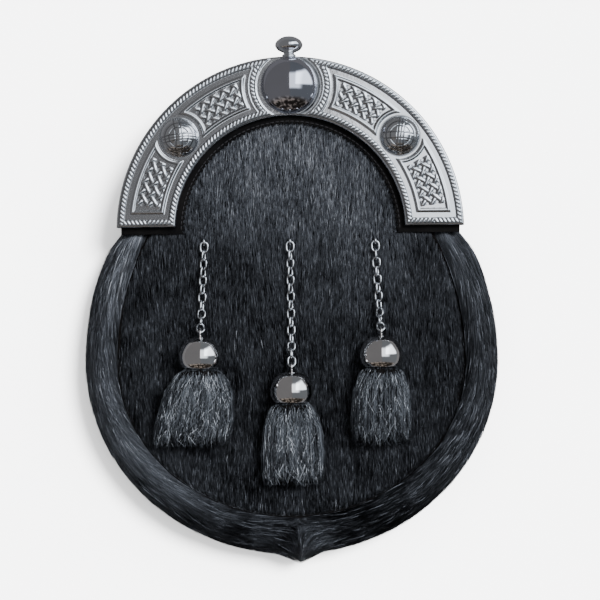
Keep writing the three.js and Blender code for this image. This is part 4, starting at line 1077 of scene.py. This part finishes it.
class SPORRAN_OT_leather(bpy.types.Operator):
    """Leather walls, backing, flap and loops"""
    bl_idname = "sporran.leather"
    bl_label = "Leather"

    def execute(self, context):
        self.backing()
        self.top_wall()
        self.back()
        self.loops()
        return {"FINISHED"}

    def backing(self):
        low, high = frame_box("cantle_backing")
        inner, outer = INNER_R - 4.4, OUTER_R - 1.9
        steps, notch = 133, 0.024
        ring = half_ring(inner, outer, END_Y - 3.5, steps)
        pinked = [(x * (1 + notch * (i % 2)), y * (1 + notch * (i % 2)))
                  for i, (x, y) in enumerate(ring[steps:])]
        bm = outline_slab(ring[:steps] + pinked, low[2], high[2], 0.25)
        finish_piece("edge_backing", bm, leather_material(), "cantle_backing")
        start = math.asin(0.5 / 55)
        row = arc_points(INNER_R - 2.6, start, math.pi - start, 200)
        bm = stitch_row(row, 2.5, 1.9, 0.28, high[2])
        finish_piece("edge_stitches", bm, thread_material())

    def top_wall(self):
        """Leather wall over the arched top, bent round its two corners."""
        wall, outer = LEATHER, OUTER_R - 1.6
        top = FRONT_EDGE_TOP
        rows = [(62, top - 3.3), (71, top - 3.3), (71.2, top - 0.3), (72, top), (outer - 1, top),
                (outer - 0.3, top - 0.3), (outer, top - 1), (outer, 1.2), (outer - 0.35, 0.35),
                (outer - 1.2, 0), (74.5, 0), (73, 0.5), (71, 2.3), (62, 2.3)]
        within, under = outer - wall, top - wall
        inner = [(62, 4.7), (71.6, 4.7), (74, 2.6), (within - 0.6, 2.5), (within, 3.2),
                 (within, under - 0.6), (within - 0.6, under), (74, under),
                 (73.4, top - 3.0), (73, top - 5.7), (62, top - 5.7)]
        bm = bmesh.new()
        start = math.asin((ROLL_TOP_Y + GAP) / 80)
        face = bm.faces.new([bm.verts.new((r * math.cos(start), r * math.sin(start), z))
                             for r, z in rows + inner])
        bmesh.ops.spin(bm, geom=[face], axis=(0, 0, 1), cent=(0, 0, 0),
                       angle=math.pi - 2 * start, steps=72)
        bmesh.ops.recalc_face_normals(bm, faces=bm.faces)
        finish_piece("wall_top", bm, leather_material(), "top_gusset",
                     smooth_faces=False)

    def back(self):
        low, high = frame_box("back_panel")
        mouth = [(x + side * MOUTH_HALF, y) for side in (1, -1)
                 for x, y in arc_points(MOUTH_R, -side * math.pi / 2, (1 - side / 2) * math.pi,
                                        12, MOUTH_Y)]
        post = hole_points(STUD_HOLE_R, 0, STUD_Y)
        bm = outline_slab(panel_outline(GAP, PANEL_STEPS), low[2], high[2], 0.35, [mouth, post])
        finish_piece("wall_back", bm, leather_material(), "back_panel")
        self.flap(post)

    def flap(self, post):
        """Flap over the mouth with its stitches, and the stud through its post hole."""
        low, high = frame_box("back_flap")
        side, corner = -FLAP_HALF, FLAP_CORNER
        points = [(side + corner * 0.3, FLAP_TOP), (side, FLAP_TOP - corner), *catmull([
            (side + corner * 0.5, FLAP_BOTTOM + corner),
            (side + corner * 0.85, FLAP_BOTTOM + corner * 0.32),
            (side + corner * 1.35, FLAP_BOTTOM + 0.5), (side + corner * 2, FLAP_BOTTOM)], 14)]
        points += [(-x, y) for x, y in reversed(points)]
        bm = outline_slab(points, low[2], high[2], 0.35, [post])
        finish_piece("flap", bm, leather_material(), "back_flap")
        middle_y = (FLAP_TOP + FLAP_BOTTOM) / 2
        row = [(x * 0.93, middle_y + (y - middle_y) * 0.9) for x, y in points]
        bm = stitch_row(row, 4, 2.8, 0.3, low[2] - 0.05)
        finish_piece("flap_stitches", bm, thread_material())
        seat, inside = low[2] - GAP, STUD_INSIDE
        rows = [(0, seat - 1.3), (3.2, seat - 1.25), (5.2, seat - 0.95), (6.0, seat - 0.45),
                (5.9, seat - 0.05), (1.8, seat), (1.8, inside), (4, inside), (4, inside + 0.8),
                (0, inside + 1.3)]
        bm = lathe(rows, 48, Matrix.Translation((0, STUD_Y, 0)))
        finish_piece("stud", bm, metal_plain(), "flap_stud")

    def loops(self):
        for name in ("left", "right"):
            low, high = frame_box(f"belt_loop_{name}")
            mid_y = (low[1] + high[1]) / 2 - CENTRE_Y
            half = (high[1] - low[1]) / 2
            seat = high[2] - LOOP_WALL
            outer = catmull([(-half, high[2]), (-half, seat), (-half * 0.72, seat),
                             (-half * 0.5, low[2]), (0, low[2])], 30)
            inner = catmull([(0, low[2] + LOOP_WALL), (-half * 0.46, low[2] + LOOP_WALL),
                             (-half * 0.68, high[2])], 16)
            rows = [*outer, *(outer[-2::-1] * (-1, 1)), *(inner[::-1] * (-1, 1)), *inner[1:]]
            bm = bmesh.new()
            verts = [bm.verts.new((low[0], mid_y + y, z)) for y, z in rows]
            bmesh.ops.triangle_fill(bm, edges=ring_edges(bm, verts), use_beauty=True)
            thicken(bm, (high[0] - low[0], 0, 0))
            finish_piece(f"loop_{name}", bm, leather_material(), f"belt_loop_{name}",
                         smooth_faces=False)


# Fur

def roll_angle(share, above):
    """Angle round an oval of height above, at a share of the roll's run."""
    reach = math.asin((ROLL_TOP_Y + BODY_DROP) / above)
    return math.pi - reach + share * (math.pi + 2 * reach)


def roll_base(share):
    """Seam point, outward direction and width of the roll at shares of its run."""
    def oval(half_wide, above, below):
        angle = roll_angle(share, above)
        half = np.where(np.sin(angle) > 0, above, below)
        return np.stack([half_wide * np.cos(angle), half * np.sin(angle) - BODY_DROP], axis=-1)

    seam = oval(SEAM_HALF, SEAM_ABOVE, SEAM_BELOW)
    rim = oval(SEAM_HALF + ROLL_SIDE, SEAM_ABOVE + ROLL_ABOVE, SEAM_BELOW + ROLL_BELOW)
    away = rim - seam
    width = np.linalg.norm(away, axis=-1)
    return seam, away / width[..., None], width


ROLL_CURVE = catmull(ROLL_SECTION, 96)

# Shares of a hair's width along it, for each count of points.
HAIR_TAPER = {count: np.array(shares) for count, shares in (
    (2, (1.0, 0.0)), (3, (1.0, 0.8, 0.0)), (4, (1.0, 1.0, 0.8, 0.0)))}


def roll_point(share, around):
    """Points on the roll: share along it from the upper left, around from the front seam."""
    seam, away, width = roll_base(share)
    at = np.clip(around, 0, 1) * (len(ROLL_CURVE) - 1)
    out = np.interp(at, np.arange(len(ROLL_CURVE)), ROLL_CURVE[:, 0])
    up = np.interp(at, np.arange(len(ROLL_CURVE)), ROLL_CURVE[:, 1])
    run = ramp(seam[..., 1], ROLL_TOP_Y - 30, ROLL_TOP_Y - 4.5)
    crest = ROLL_CREST - 3.3 * run
    flat = seam + away * (out * width)[..., None]
    return np.concatenate([flat, (up * crest)[..., None]], axis=-1)


def roll_surface(share, around):
    """Point and outward normal of the roll."""
    step = 0.004
    point = roll_point(share, around)
    along = roll_point(share + step, around) - roll_point(share - step, around)
    across = roll_point(share, around + step) - roll_point(share, around - step)
    normal = np.cross(across, along)
    normal /= np.linalg.norm(normal, axis=-1, keepdims=True) + 1e-9
    return point, normal


def closed_sheet(points):
    """Closed bmesh from rows of points that go round, with capped ends."""
    bm = bmesh.new()
    rings = [[bm.verts.new(p) for p in row] for row in points]
    for ring in rings:
        ring_edges(bm, ring)
    for lower, upper in zip(rings, rings[1:]):
        for k, above in enumerate(upper):
            n = (k + 1) % len(upper)
            bm.faces.new((lower[k], lower[n], upper[n], above))
    bm.faces.new(list(reversed(rings[0])))
    bm.faces.new(rings[-1])
    bmesh.ops.recalc_face_normals(bm, faces=bm.faces)
    return bm


class SPORRAN_OT_fur(bpy.types.Operator):
    """Fur front and fur roll, each a hide with hair on it"""
    bl_idname = "sporran.fur"
    bl_label = "Fur"

    def execute(self, context):
        fur = settings()[1]
        hide = hide_and_core_shade_material()
        coat = hair_coat("black_fur", (0.0004, 0.0004, 0.0005), (0.052, 0.0575, 0.0685),
                         (0.17, 0.18, 0.2))
        self.front_hide(hide)
        self.roll_hide(hide)
        for part, seed in (("upper", 11), ("lower", 12)):
            self.front_hair(part, seed, fur, coat)
        for side, seed in (("left", 21), ("right", 22)):
            self.roll_hair(side, seed, fur, coat)
        return {"FINISHED"}

    def front_hide(self, hide):
        outline = panel_outline(GAP, PANEL_STEPS)
        holes = [hole_points(CHAIN_HOLE_R, tassel["x"], CHAIN_TOP_Y) for tassel in TASSELS]
        top = FRONT_EDGE_TOP - HIDE_DROP
        bm = outline_slab(outline, FRONT_LOW[2], top, 0.3, holes)
        bmesh.ops.triangulate(bm, faces=bm.faces)
        bmesh.ops.subdivide_edges(bm, edges=[e for e in bm.edges if e.calc_length() > 12], cuts=5)
        for vert in bm.verts:
            if vert.co.z > top - 0.2:
                vert.co.z += float(front_top(vert.co.x, vert.co.y)) - FRONT_EDGE_TOP
        bmesh.ops.triangulate(bm, faces=bm.faces)
        finish_piece("front_hide", bm, hide, "front_panel")

    def roll_hide(self, hide):
        share, around = np.meshgrid(np.linspace(0, 1, 141), np.linspace(0, 1, 48), indexing="ij")
        point, normal = roll_surface(share, around)
        outside, inside = point - normal * 1.6, point - normal * 4.0
        for wall, floor in ((outside, 0.05), (inside, 2.25)):
            wall[..., 2] = np.maximum(wall[..., 2], floor)
        points = np.concatenate([outside, inside[:, ::-1]], axis=1)
        finish_piece("roll_hide", closed_sheet(points), hide, "fur_gusset")

    def front_hair(self, part, seed, fur, coat):
        random = np.random.default_rng(seed)
        wanted = fur.front_hairs
        x = random.uniform(-SEAM_HALF, SEAM_HALF, wanted * 3)
        spans = {"lower": (-BODY_DROP - SEAM_BELOW + 1, FUR_SPLIT_Y), "upper": (FUR_SPLIT_Y, 62)}
        y = random.uniform(*spans[part], wanted * 3)
        half = np.where(y > -BODY_DROP, SEAM_ABOVE, SEAM_BELOW)
        oval = (x / (SEAM_HALF - 1)) ** 2 + ((y + BODY_DROP) / (half - 1)) ** 2
        inside = np.where(y < 3, oval < 1, np.hypot(x, y) < INNER_R + 4)
        x, y = x[inside][:wanted], y[inside][:wanted]
        hairs = len(x)
        length = fur.front_length * random.uniform(0.6, 1.2, hairs)
        lean = (value_noise(x / 14, y / 30, 6) - 0.5) * 0.22 + random.normal(0, 0.075, hairs)
        reach = length[:, None] * np.array([0.0, 1.0])
        px = x[:, None] + np.sin(lean)[:, None] * reach
        py = y[:, None] - np.cos(lean)[:, None] * reach
        oval = np.hypot(px / (SEAM_HALF - 1.2), (py + BODY_DROP) / (SEAM_BELOW - 1.2))
        outside = (py < -BODY_DROP) & (oval > 1)
        px = np.where(outside, px / oval, px)
        py = np.where(outside, (py + BODY_DROP) / oval - BODY_DROP, py)
        near_seam = ramp(np.where(py < -BODY_DROP, oval, np.abs(px) / (SEAM_HALF - 1)), 0.94, 1.0)
        under = (np.hypot(px, py) > INNER_R - 5.5) & (py > -3)
        stray = random.random(hairs) < np.where(y < -100, 0.014, 0.004)
        bright = random.random(hairs) < 0.09
        lifted = random.uniform(-0.1, 1.1, hairs) + 1.2 * stray + 0.3 * bright
        rise = np.stack([np.full(hairs, -1.5), lifted], axis=1) - 1.6 * near_seam
        pz = front_top(px, py) + np.where(under, np.minimum(rise, -0.35), rise)
        paths = np.stack([px, py, pz], axis=-1)
        widths = fur.hair_width * HAIR_TAPER[2] * random.uniform(0.7, 1.3, (hairs, 1))
        widths *= 1 + 0.15 * bright[:, None]
        # Painted sheen: hairs are lighter in a broad patch at the top centre and a smaller one to
        # the right, and the sheen also strengthens the clumps' and single hairs' variation; each
        # hair is darker at its root than at its tip.
        sheen = 0.95 * np.exp(-((x + 2) / 58) ** 2 - ((y - 42) / 42) ** 2)
        sheen += 0.36 * np.exp(-((x - 36) / 30) ** 2 - ((y - 2) / 40) ** 2)
        sheen *= 0.78 + 0.44 * value_noise(x / 9 + 2, y / 26 + 5, 9)
        light = 0.085 + 0.37 * sheen
        light += 0.16 * (value_noise(x / 0.75 + 7, y / 8 + 3, 5) - 0.5) * (0.4 + sheen)
        light += random.normal(0, 0.13, hairs) * (0.45 + sheen) + bright * (0.24 + 0.14 * sheen)
        light += 0.42 * stray
        tones = np.clip(light[:, None] * np.array([0.75, 1.2]), 0, 1)
        finish_piece(f"front_hair_{part}", strands(paths, widths, tones), coat)

    def roll_hair(self, side, seed, fur, coat):
        """Hair along one side of the roll, which ends in the tuft. A mesh of short
        straight hairs and one of long bent ones are joined."""
        lays = ((2, fur.roll_hairs, fur.roll_length),
                (3, fur.roll_hairs // 7, fur.roll_length * 1.7))
        whole = joined([self.roll_lay(side, seed + 10 * (points - 2), points, hairs, length)
                        for points, hairs, length in lays])
        finish_piece(f"roll_hair_{side}", whole, coat)

    def roll_lay(self, side, seed, points, hairs, usual):
        random = np.random.default_rng(seed)
        way = 1 if side == "left" else -1
        middle = 0.5 + TUFT_X / ROLL_RUN
        share = random.uniform(0.0, middle if way > 0 else 1 - middle, hairs)
        share = share if way > 0 else 1 - share
        around = random.beta(1.1, 1.5, hairs) * 0.88 + 0.035
        length = usual * random.uniform(0.65, 1.2, hairs)
        left_over = (middle - share) * way * ROLL_RUN
        gather = 1 - ramp(left_over, 4, 30)
        swirl = (value_noise(share * 28, around * 8, 33) - 0.5) * 0.35
        swirl += random.normal(0, 0.075, hairs)
        t = np.linspace(0, 1, points)[None]
        step = np.minimum(length * (1 - 0.5 * gather), np.maximum(left_over * 0.96, 0.2))
        ahead = share[:, None] + way * step[:, None] * t / ROLL_RUN
        aside = gather * ramp(around, 0.05, 0.24) * np.clip(0.56 - around, -0.25, 0.3) * 1.1
        aside -= (1 - gather) * (0.1 + swirl) * length / 62
        lane = np.clip(around[:, None] + aside[:, None] * t, 0.03, 0.97)
        point, normal = roll_surface(ahead, lane)
        streak = value_noise(share * 45 + around * 9, around * 85, 31 + (way < 0))
        lift = np.interp(t, [0, 0.5, 1], [-1.7, 0.35, 0.6])
        lift = lift + random.uniform(-0.3, 0.9, (hairs, 1)) * t
        inner_wall = 1 - ramp(lane, 0.04, 0.12)
        paths = point + normal * np.minimum(lift - 0.6 * inner_wall, 1.5)[..., None]
        near = bell((middle - ahead) * ROLL_RUN, 0, 2.3) * ramp(lane, 0.22, 0.5)
        paths[..., 1] -= near * TUFT_REACH * t
        paths[..., 2] = np.maximum(paths[..., 2], 0.35)
        widths = settings()[1].hair_width * 1.1 * HAIR_TAPER[points]
        widths = widths * random.uniform(0.7, 1.3, (hairs, 1))
        # Painted light: a painted highlight along the crest, and the left side of the roll lit more
        # than the right; hairs are also lighter higher up than at the bottom, with a lighter patch
        # at the bottom just right of the tuft, and each is darker at its root than at its tip.
        crest = bell(around, 0.17, 0.1)
        x, y = point[:, 0, 0], point[:, 0, 1]
        low = ramp(y, -150, -95)
        lit = 1.0 if way > 0 else 0.55
        light = lit * (0.01 + 0.1 * low + 0.17 * crest * low) * (0.35 + 1.3 * streak)
        light += 0.005 + 0.085 * low
        light += 0.42 * np.exp(-((x - 15) / 13) ** 2 - ((y + 151) / 7) ** 2) * (0.4 + 1.2 * streak)
        wisp = np.exp(-((x + 79) / 6) ** 2 - ((y + 10) / 13) ** 2)
        light += 0.4 * wisp * random.random(hairs) + random.normal(0, 0.055, hairs)
        bright = random.random(hairs) < (0.025 + 0.05 * crest if points == 2 else 0.1)
        light += 0.34 * bright
        widths *= 1 + 0.2 * bright[:, None]
        tones = np.clip(light[:, None] * np.linspace(0.75, 1.2, points), 0, 1)
        return strands(paths, widths, tones)


class SPORRAN_OT_tassels(bpy.types.Operator):
    """Hair bells under the caps"""
    bl_idname = "sporran.tassels"
    bl_label = "Tassel hair"

    def execute(self, context):
        fur = settings()[1]
        coat = hair_coat("tassel_coat", (0.0005, 0.0005, 0.0008), (0.044, 0.05, 0.059),
                         (0.17, 0.183, 0.203))
        hide = hide_and_core_shade_material()
        for number, tassel in enumerate(TASSELS):
            self.core(tassel, hide)
            self.hair(tassel, 40 + number, fur, coat)
        return {"FINISHED"}

    def envelope(self, tassel, drop):
        """Centre and half sizes of the hair at shares of its length."""
        place = cap_place(tassel)
        table = np.array(HAIR_RINGS, float)
        head, wide, deep, rise = (np.interp(drop, table[:, 0], table[:, k]) for k in (1, 2, 3, 4))
        x = place[0] + tassel["lean"] * np.maximum(drop, 0) ** 1.3
        y = place[1] - drop * HAIR_LENGTH * tassel["long"]
        half_wide = HAIR_HEAD_R * head * (1 - wide) + 1.05 * tassel["spread"] * wide
        half_deep = HAIR_THICK * deep
        ground = front_top(x, y) + GAP
        z = np.maximum(ground + half_deep, (ground + half_deep) * (1 - rise) + place[2] * rise)
        return x, y, z, half_wide, half_deep

    # The core is a closed near-black body inside the tassel's hair, in the hide's material: painted
    # shade for the hair deep inside the tassel.
    def core(self, tassel, hide):
        drops = np.concatenate([[-0.13, 0.0, 0.03], np.linspace(0.06, 0.96, 16)])
        angles = np.linspace(0, 2 * math.pi, 32, endpoint=False)
        drop, angle = np.meshgrid(drops, angles, indexing="ij")
        x, y, z, half_wide, half_deep = self.envelope(tassel, drop)
        slim = 0.9 - 0.12 * drop
        points = np.stack([x + half_wide * slim * np.cos(angle), y,
                           z + half_deep * slim * np.sin(angle)], axis=-1)
        finish_piece(f"hair_core_{tassel['name']}", closed_sheet(points), hide,
                     f"tassel_hair_{tassel['name']}")

    def hair(self, tassel, seed, fur, coat):
        lays = ((2, fur.tassel_hairs, 0.18), (4, fur.tassel_hairs // 14, 1.0))
        whole = joined([self.lay(tassel, seed + points, points, hairs, span)
                        for points, hairs, span in lays])
        finish_piece(f"hair_{tassel['name']}", whole, coat)

    def lay(self, tassel, seed, points, hairs, span):
        """Hairs of one length: short ones that cross and overlap, or whole ones."""
        random = np.random.default_rng(seed)
        angle = random.uniform(0, 2 * math.pi, hairs)
        depth = 1 - random.beta(1, 5, hairs) * 0.5
        spread = span * random.uniform(0.8, 1.2, hairs)
        short = span < 1
        start = np.full(hairs, -0.03)
        if short:
            start = random.uniform(-0.04, 1.0, hairs) * (1.0 - spread)
        end = np.minimum(start + spread, 1 + random.normal(0, 0.022, hairs))
        t = np.linspace(0, 1, points)[None]
        if short:
            flipped = random.random(hairs) < 0.5
            start, end = np.where(flipped, end, start), np.where(flipped, start, end)
        drop = start[:, None] + (end - start)[:, None] * t
        x, y, z, half_wide, half_deep = self.envelope(tassel, drop)
        twist = random.normal(0, 0.2 if short else 0.06, hairs)
        turned = angle[:, None] + twist[:, None] * (t - 0.3)
        out = depth[:, None] + random.uniform(-0.05, 0.05, (hairs, 1)) * t
        if short:
            out[:, 0] -= 0.04
        px = x + half_wide * out * np.cos(turned)
        pz = np.maximum(z + half_deep * out * np.sin(turned), front_top(px, y) + 0.3)
        paths = np.stack([px, y, pz], axis=-1)
        widths = TASSEL_HAIR_WIDTH * HAIR_TAPER[points] * random.uniform(0.7, 1.3, (hairs, 1))
        lock = value_noise(angle * 12, start * 6 + 3, seed)
        light = 0.25 + 0.5 * (lock - 0.5) + random.normal(0, 0.22, hairs)
        light += 0.6 * (random.random(hairs) < 0.18)
        light *= (1 if short else 0.42) * tassel["light"]
        # Painted shade where the hairs go into the cap; hairs are also darker towards their tips.
        shade = np.interp(drop, [-0.03, 0.06, 0.25, 0.85, 1], [0.35, 0.75, 1, 1, 0.6])
        return strands(paths, widths, np.clip(light[:, None] * shade, 0, 1))


class SPORRAN_OT_stage(bpy.types.Operator):
    """Floor, lights and camera"""
    bl_idname = "sporran.stage"
    bl_label = "Stage"

    def execute(self, context):
        stage = settings()[2]
        bm = bmesh.new()
        bmesh.ops.create_grid(bm, x_segments=1, y_segments=1, size=3)
        floor = bpy.data.objects.new("floor", mesh_of(bm, "floor"))
        context.scene.collection.objects.link(floor)
        paper = Shader("pale_paper", Roughness=0.9, Specular_IOR_Level=0.0)
        grain = paper.noise(4, 2, 0.5)
        # Painted reflection: glossy rays see the floor near black, so the metal reflects a dark
        # floor while the camera sees it pale.
        mirrored = paper.node("ShaderNodeLightPath", output="Is Glossy Ray")
        pale = paper.mix(grain, rgb(0.86, 0.86, 0.86), rgb(0.88, 0.88, 0.88))
        color = paper.mix(mirrored, pale, rgb(0.026, 0.026, 0.027))
        floor.data.materials.append(paper.feed(Base_Color=color))

        context.scene.world = studio()
        self.sun("key_sun", (0.34, 0.26, 0.9), stage.key_power, 16)
        self.sun("fill_sun", (0.2, 0.15, 0.95), stage.key_power * 0.4, 100)

        camera = bpy.data.cameras.new("camera")
        camera.sensor_fit = "HORIZONTAL"
        camera.angle = 2 * math.atan(stage.field / 2 / stage.camera_height)
        holder = bpy.data.objects.new("camera", camera)
        holder.location = (CAMERA_X / 1000, (CENTRE_Y + CAMERA_Y) / 1000,
                           PLATE_TOP / 1000 + stage.camera_height)
        holder.rotation_euler = (0, 0, -stage.camera_turn)
        context.scene.collection.objects.link(holder)
        context.scene.camera = holder
        return {"FINISHED"}

    def sun(self, name, way, power, spread):
        lamp = bpy.data.lights.new(name, "SUN")
        lamp.energy = power
        lamp.angle = math.radians(spread)
        holder = bpy.data.objects.new(name, lamp)
        holder.rotation_euler = (-Vector(way)).to_track_quat("-Z", "Y").to_euler()
        holder.visible_glossy = False
        bpy.context.scene.collection.objects.link(holder)


class SPORRAN_PT_panel(bpy.types.Panel):
    """Settings and pieces of the sporran pouch"""
    bl_idname = "SPORRAN_PT_panel"
    bl_label = "Sporran Pouch"
    bl_space_type = "VIEW_3D"
    bl_region_type = "UI"
    bl_category = "Sporran"

    def draw(self, context):
        for group in settings():
            box = self.layout.box()
            for name in group.bl_rna.properties.keys():
                if name not in ("rna_type", "name"):
                    box.prop(group, name)
        for operator in OPERATORS:
            self.layout.operator(operator.bl_idname)


OPERATORS = (
    SPORRAN_OT_stage, SPORRAN_OT_cantle, SPORRAN_OT_domes, SPORRAN_OT_chains,
    SPORRAN_OT_leather, SPORRAN_OT_fur, SPORRAN_OT_tassels,
)
CLASSES = (SPORRAN_PG_metal, SPORRAN_PG_fur, SPORRAN_PG_stage) + OPERATORS + (SPORRAN_PT_panel,)


def register():
    for cls in CLASSES:
        bpy.utils.register_class(cls)
    bpy.types.Scene.sporran_metal = PointerProperty(type=SPORRAN_PG_metal)
    bpy.types.Scene.sporran_fur = PointerProperty(type=SPORRAN_PG_fur)
    bpy.types.Scene.sporran_stage = PointerProperty(type=SPORRAN_PG_stage)


def unregister():
    del bpy.types.Scene.sporran_stage
    del bpy.types.Scene.sporran_fur
    del bpy.types.Scene.sporran_metal
    for cls in reversed(CLASSES):
        bpy.utils.unregister_class(cls)


def main():
    register()
    bpy.ops.sporran.stage()
    bpy.ops.sporran.cantle()
    bpy.ops.sporran.domes()
    bpy.ops.sporran.chains()
    bpy.ops.sporran.leather()
    bpy.ops.sporran.fur()
    bpy.ops.sporran.tassels()


if __name__ == "__main__":
    main()
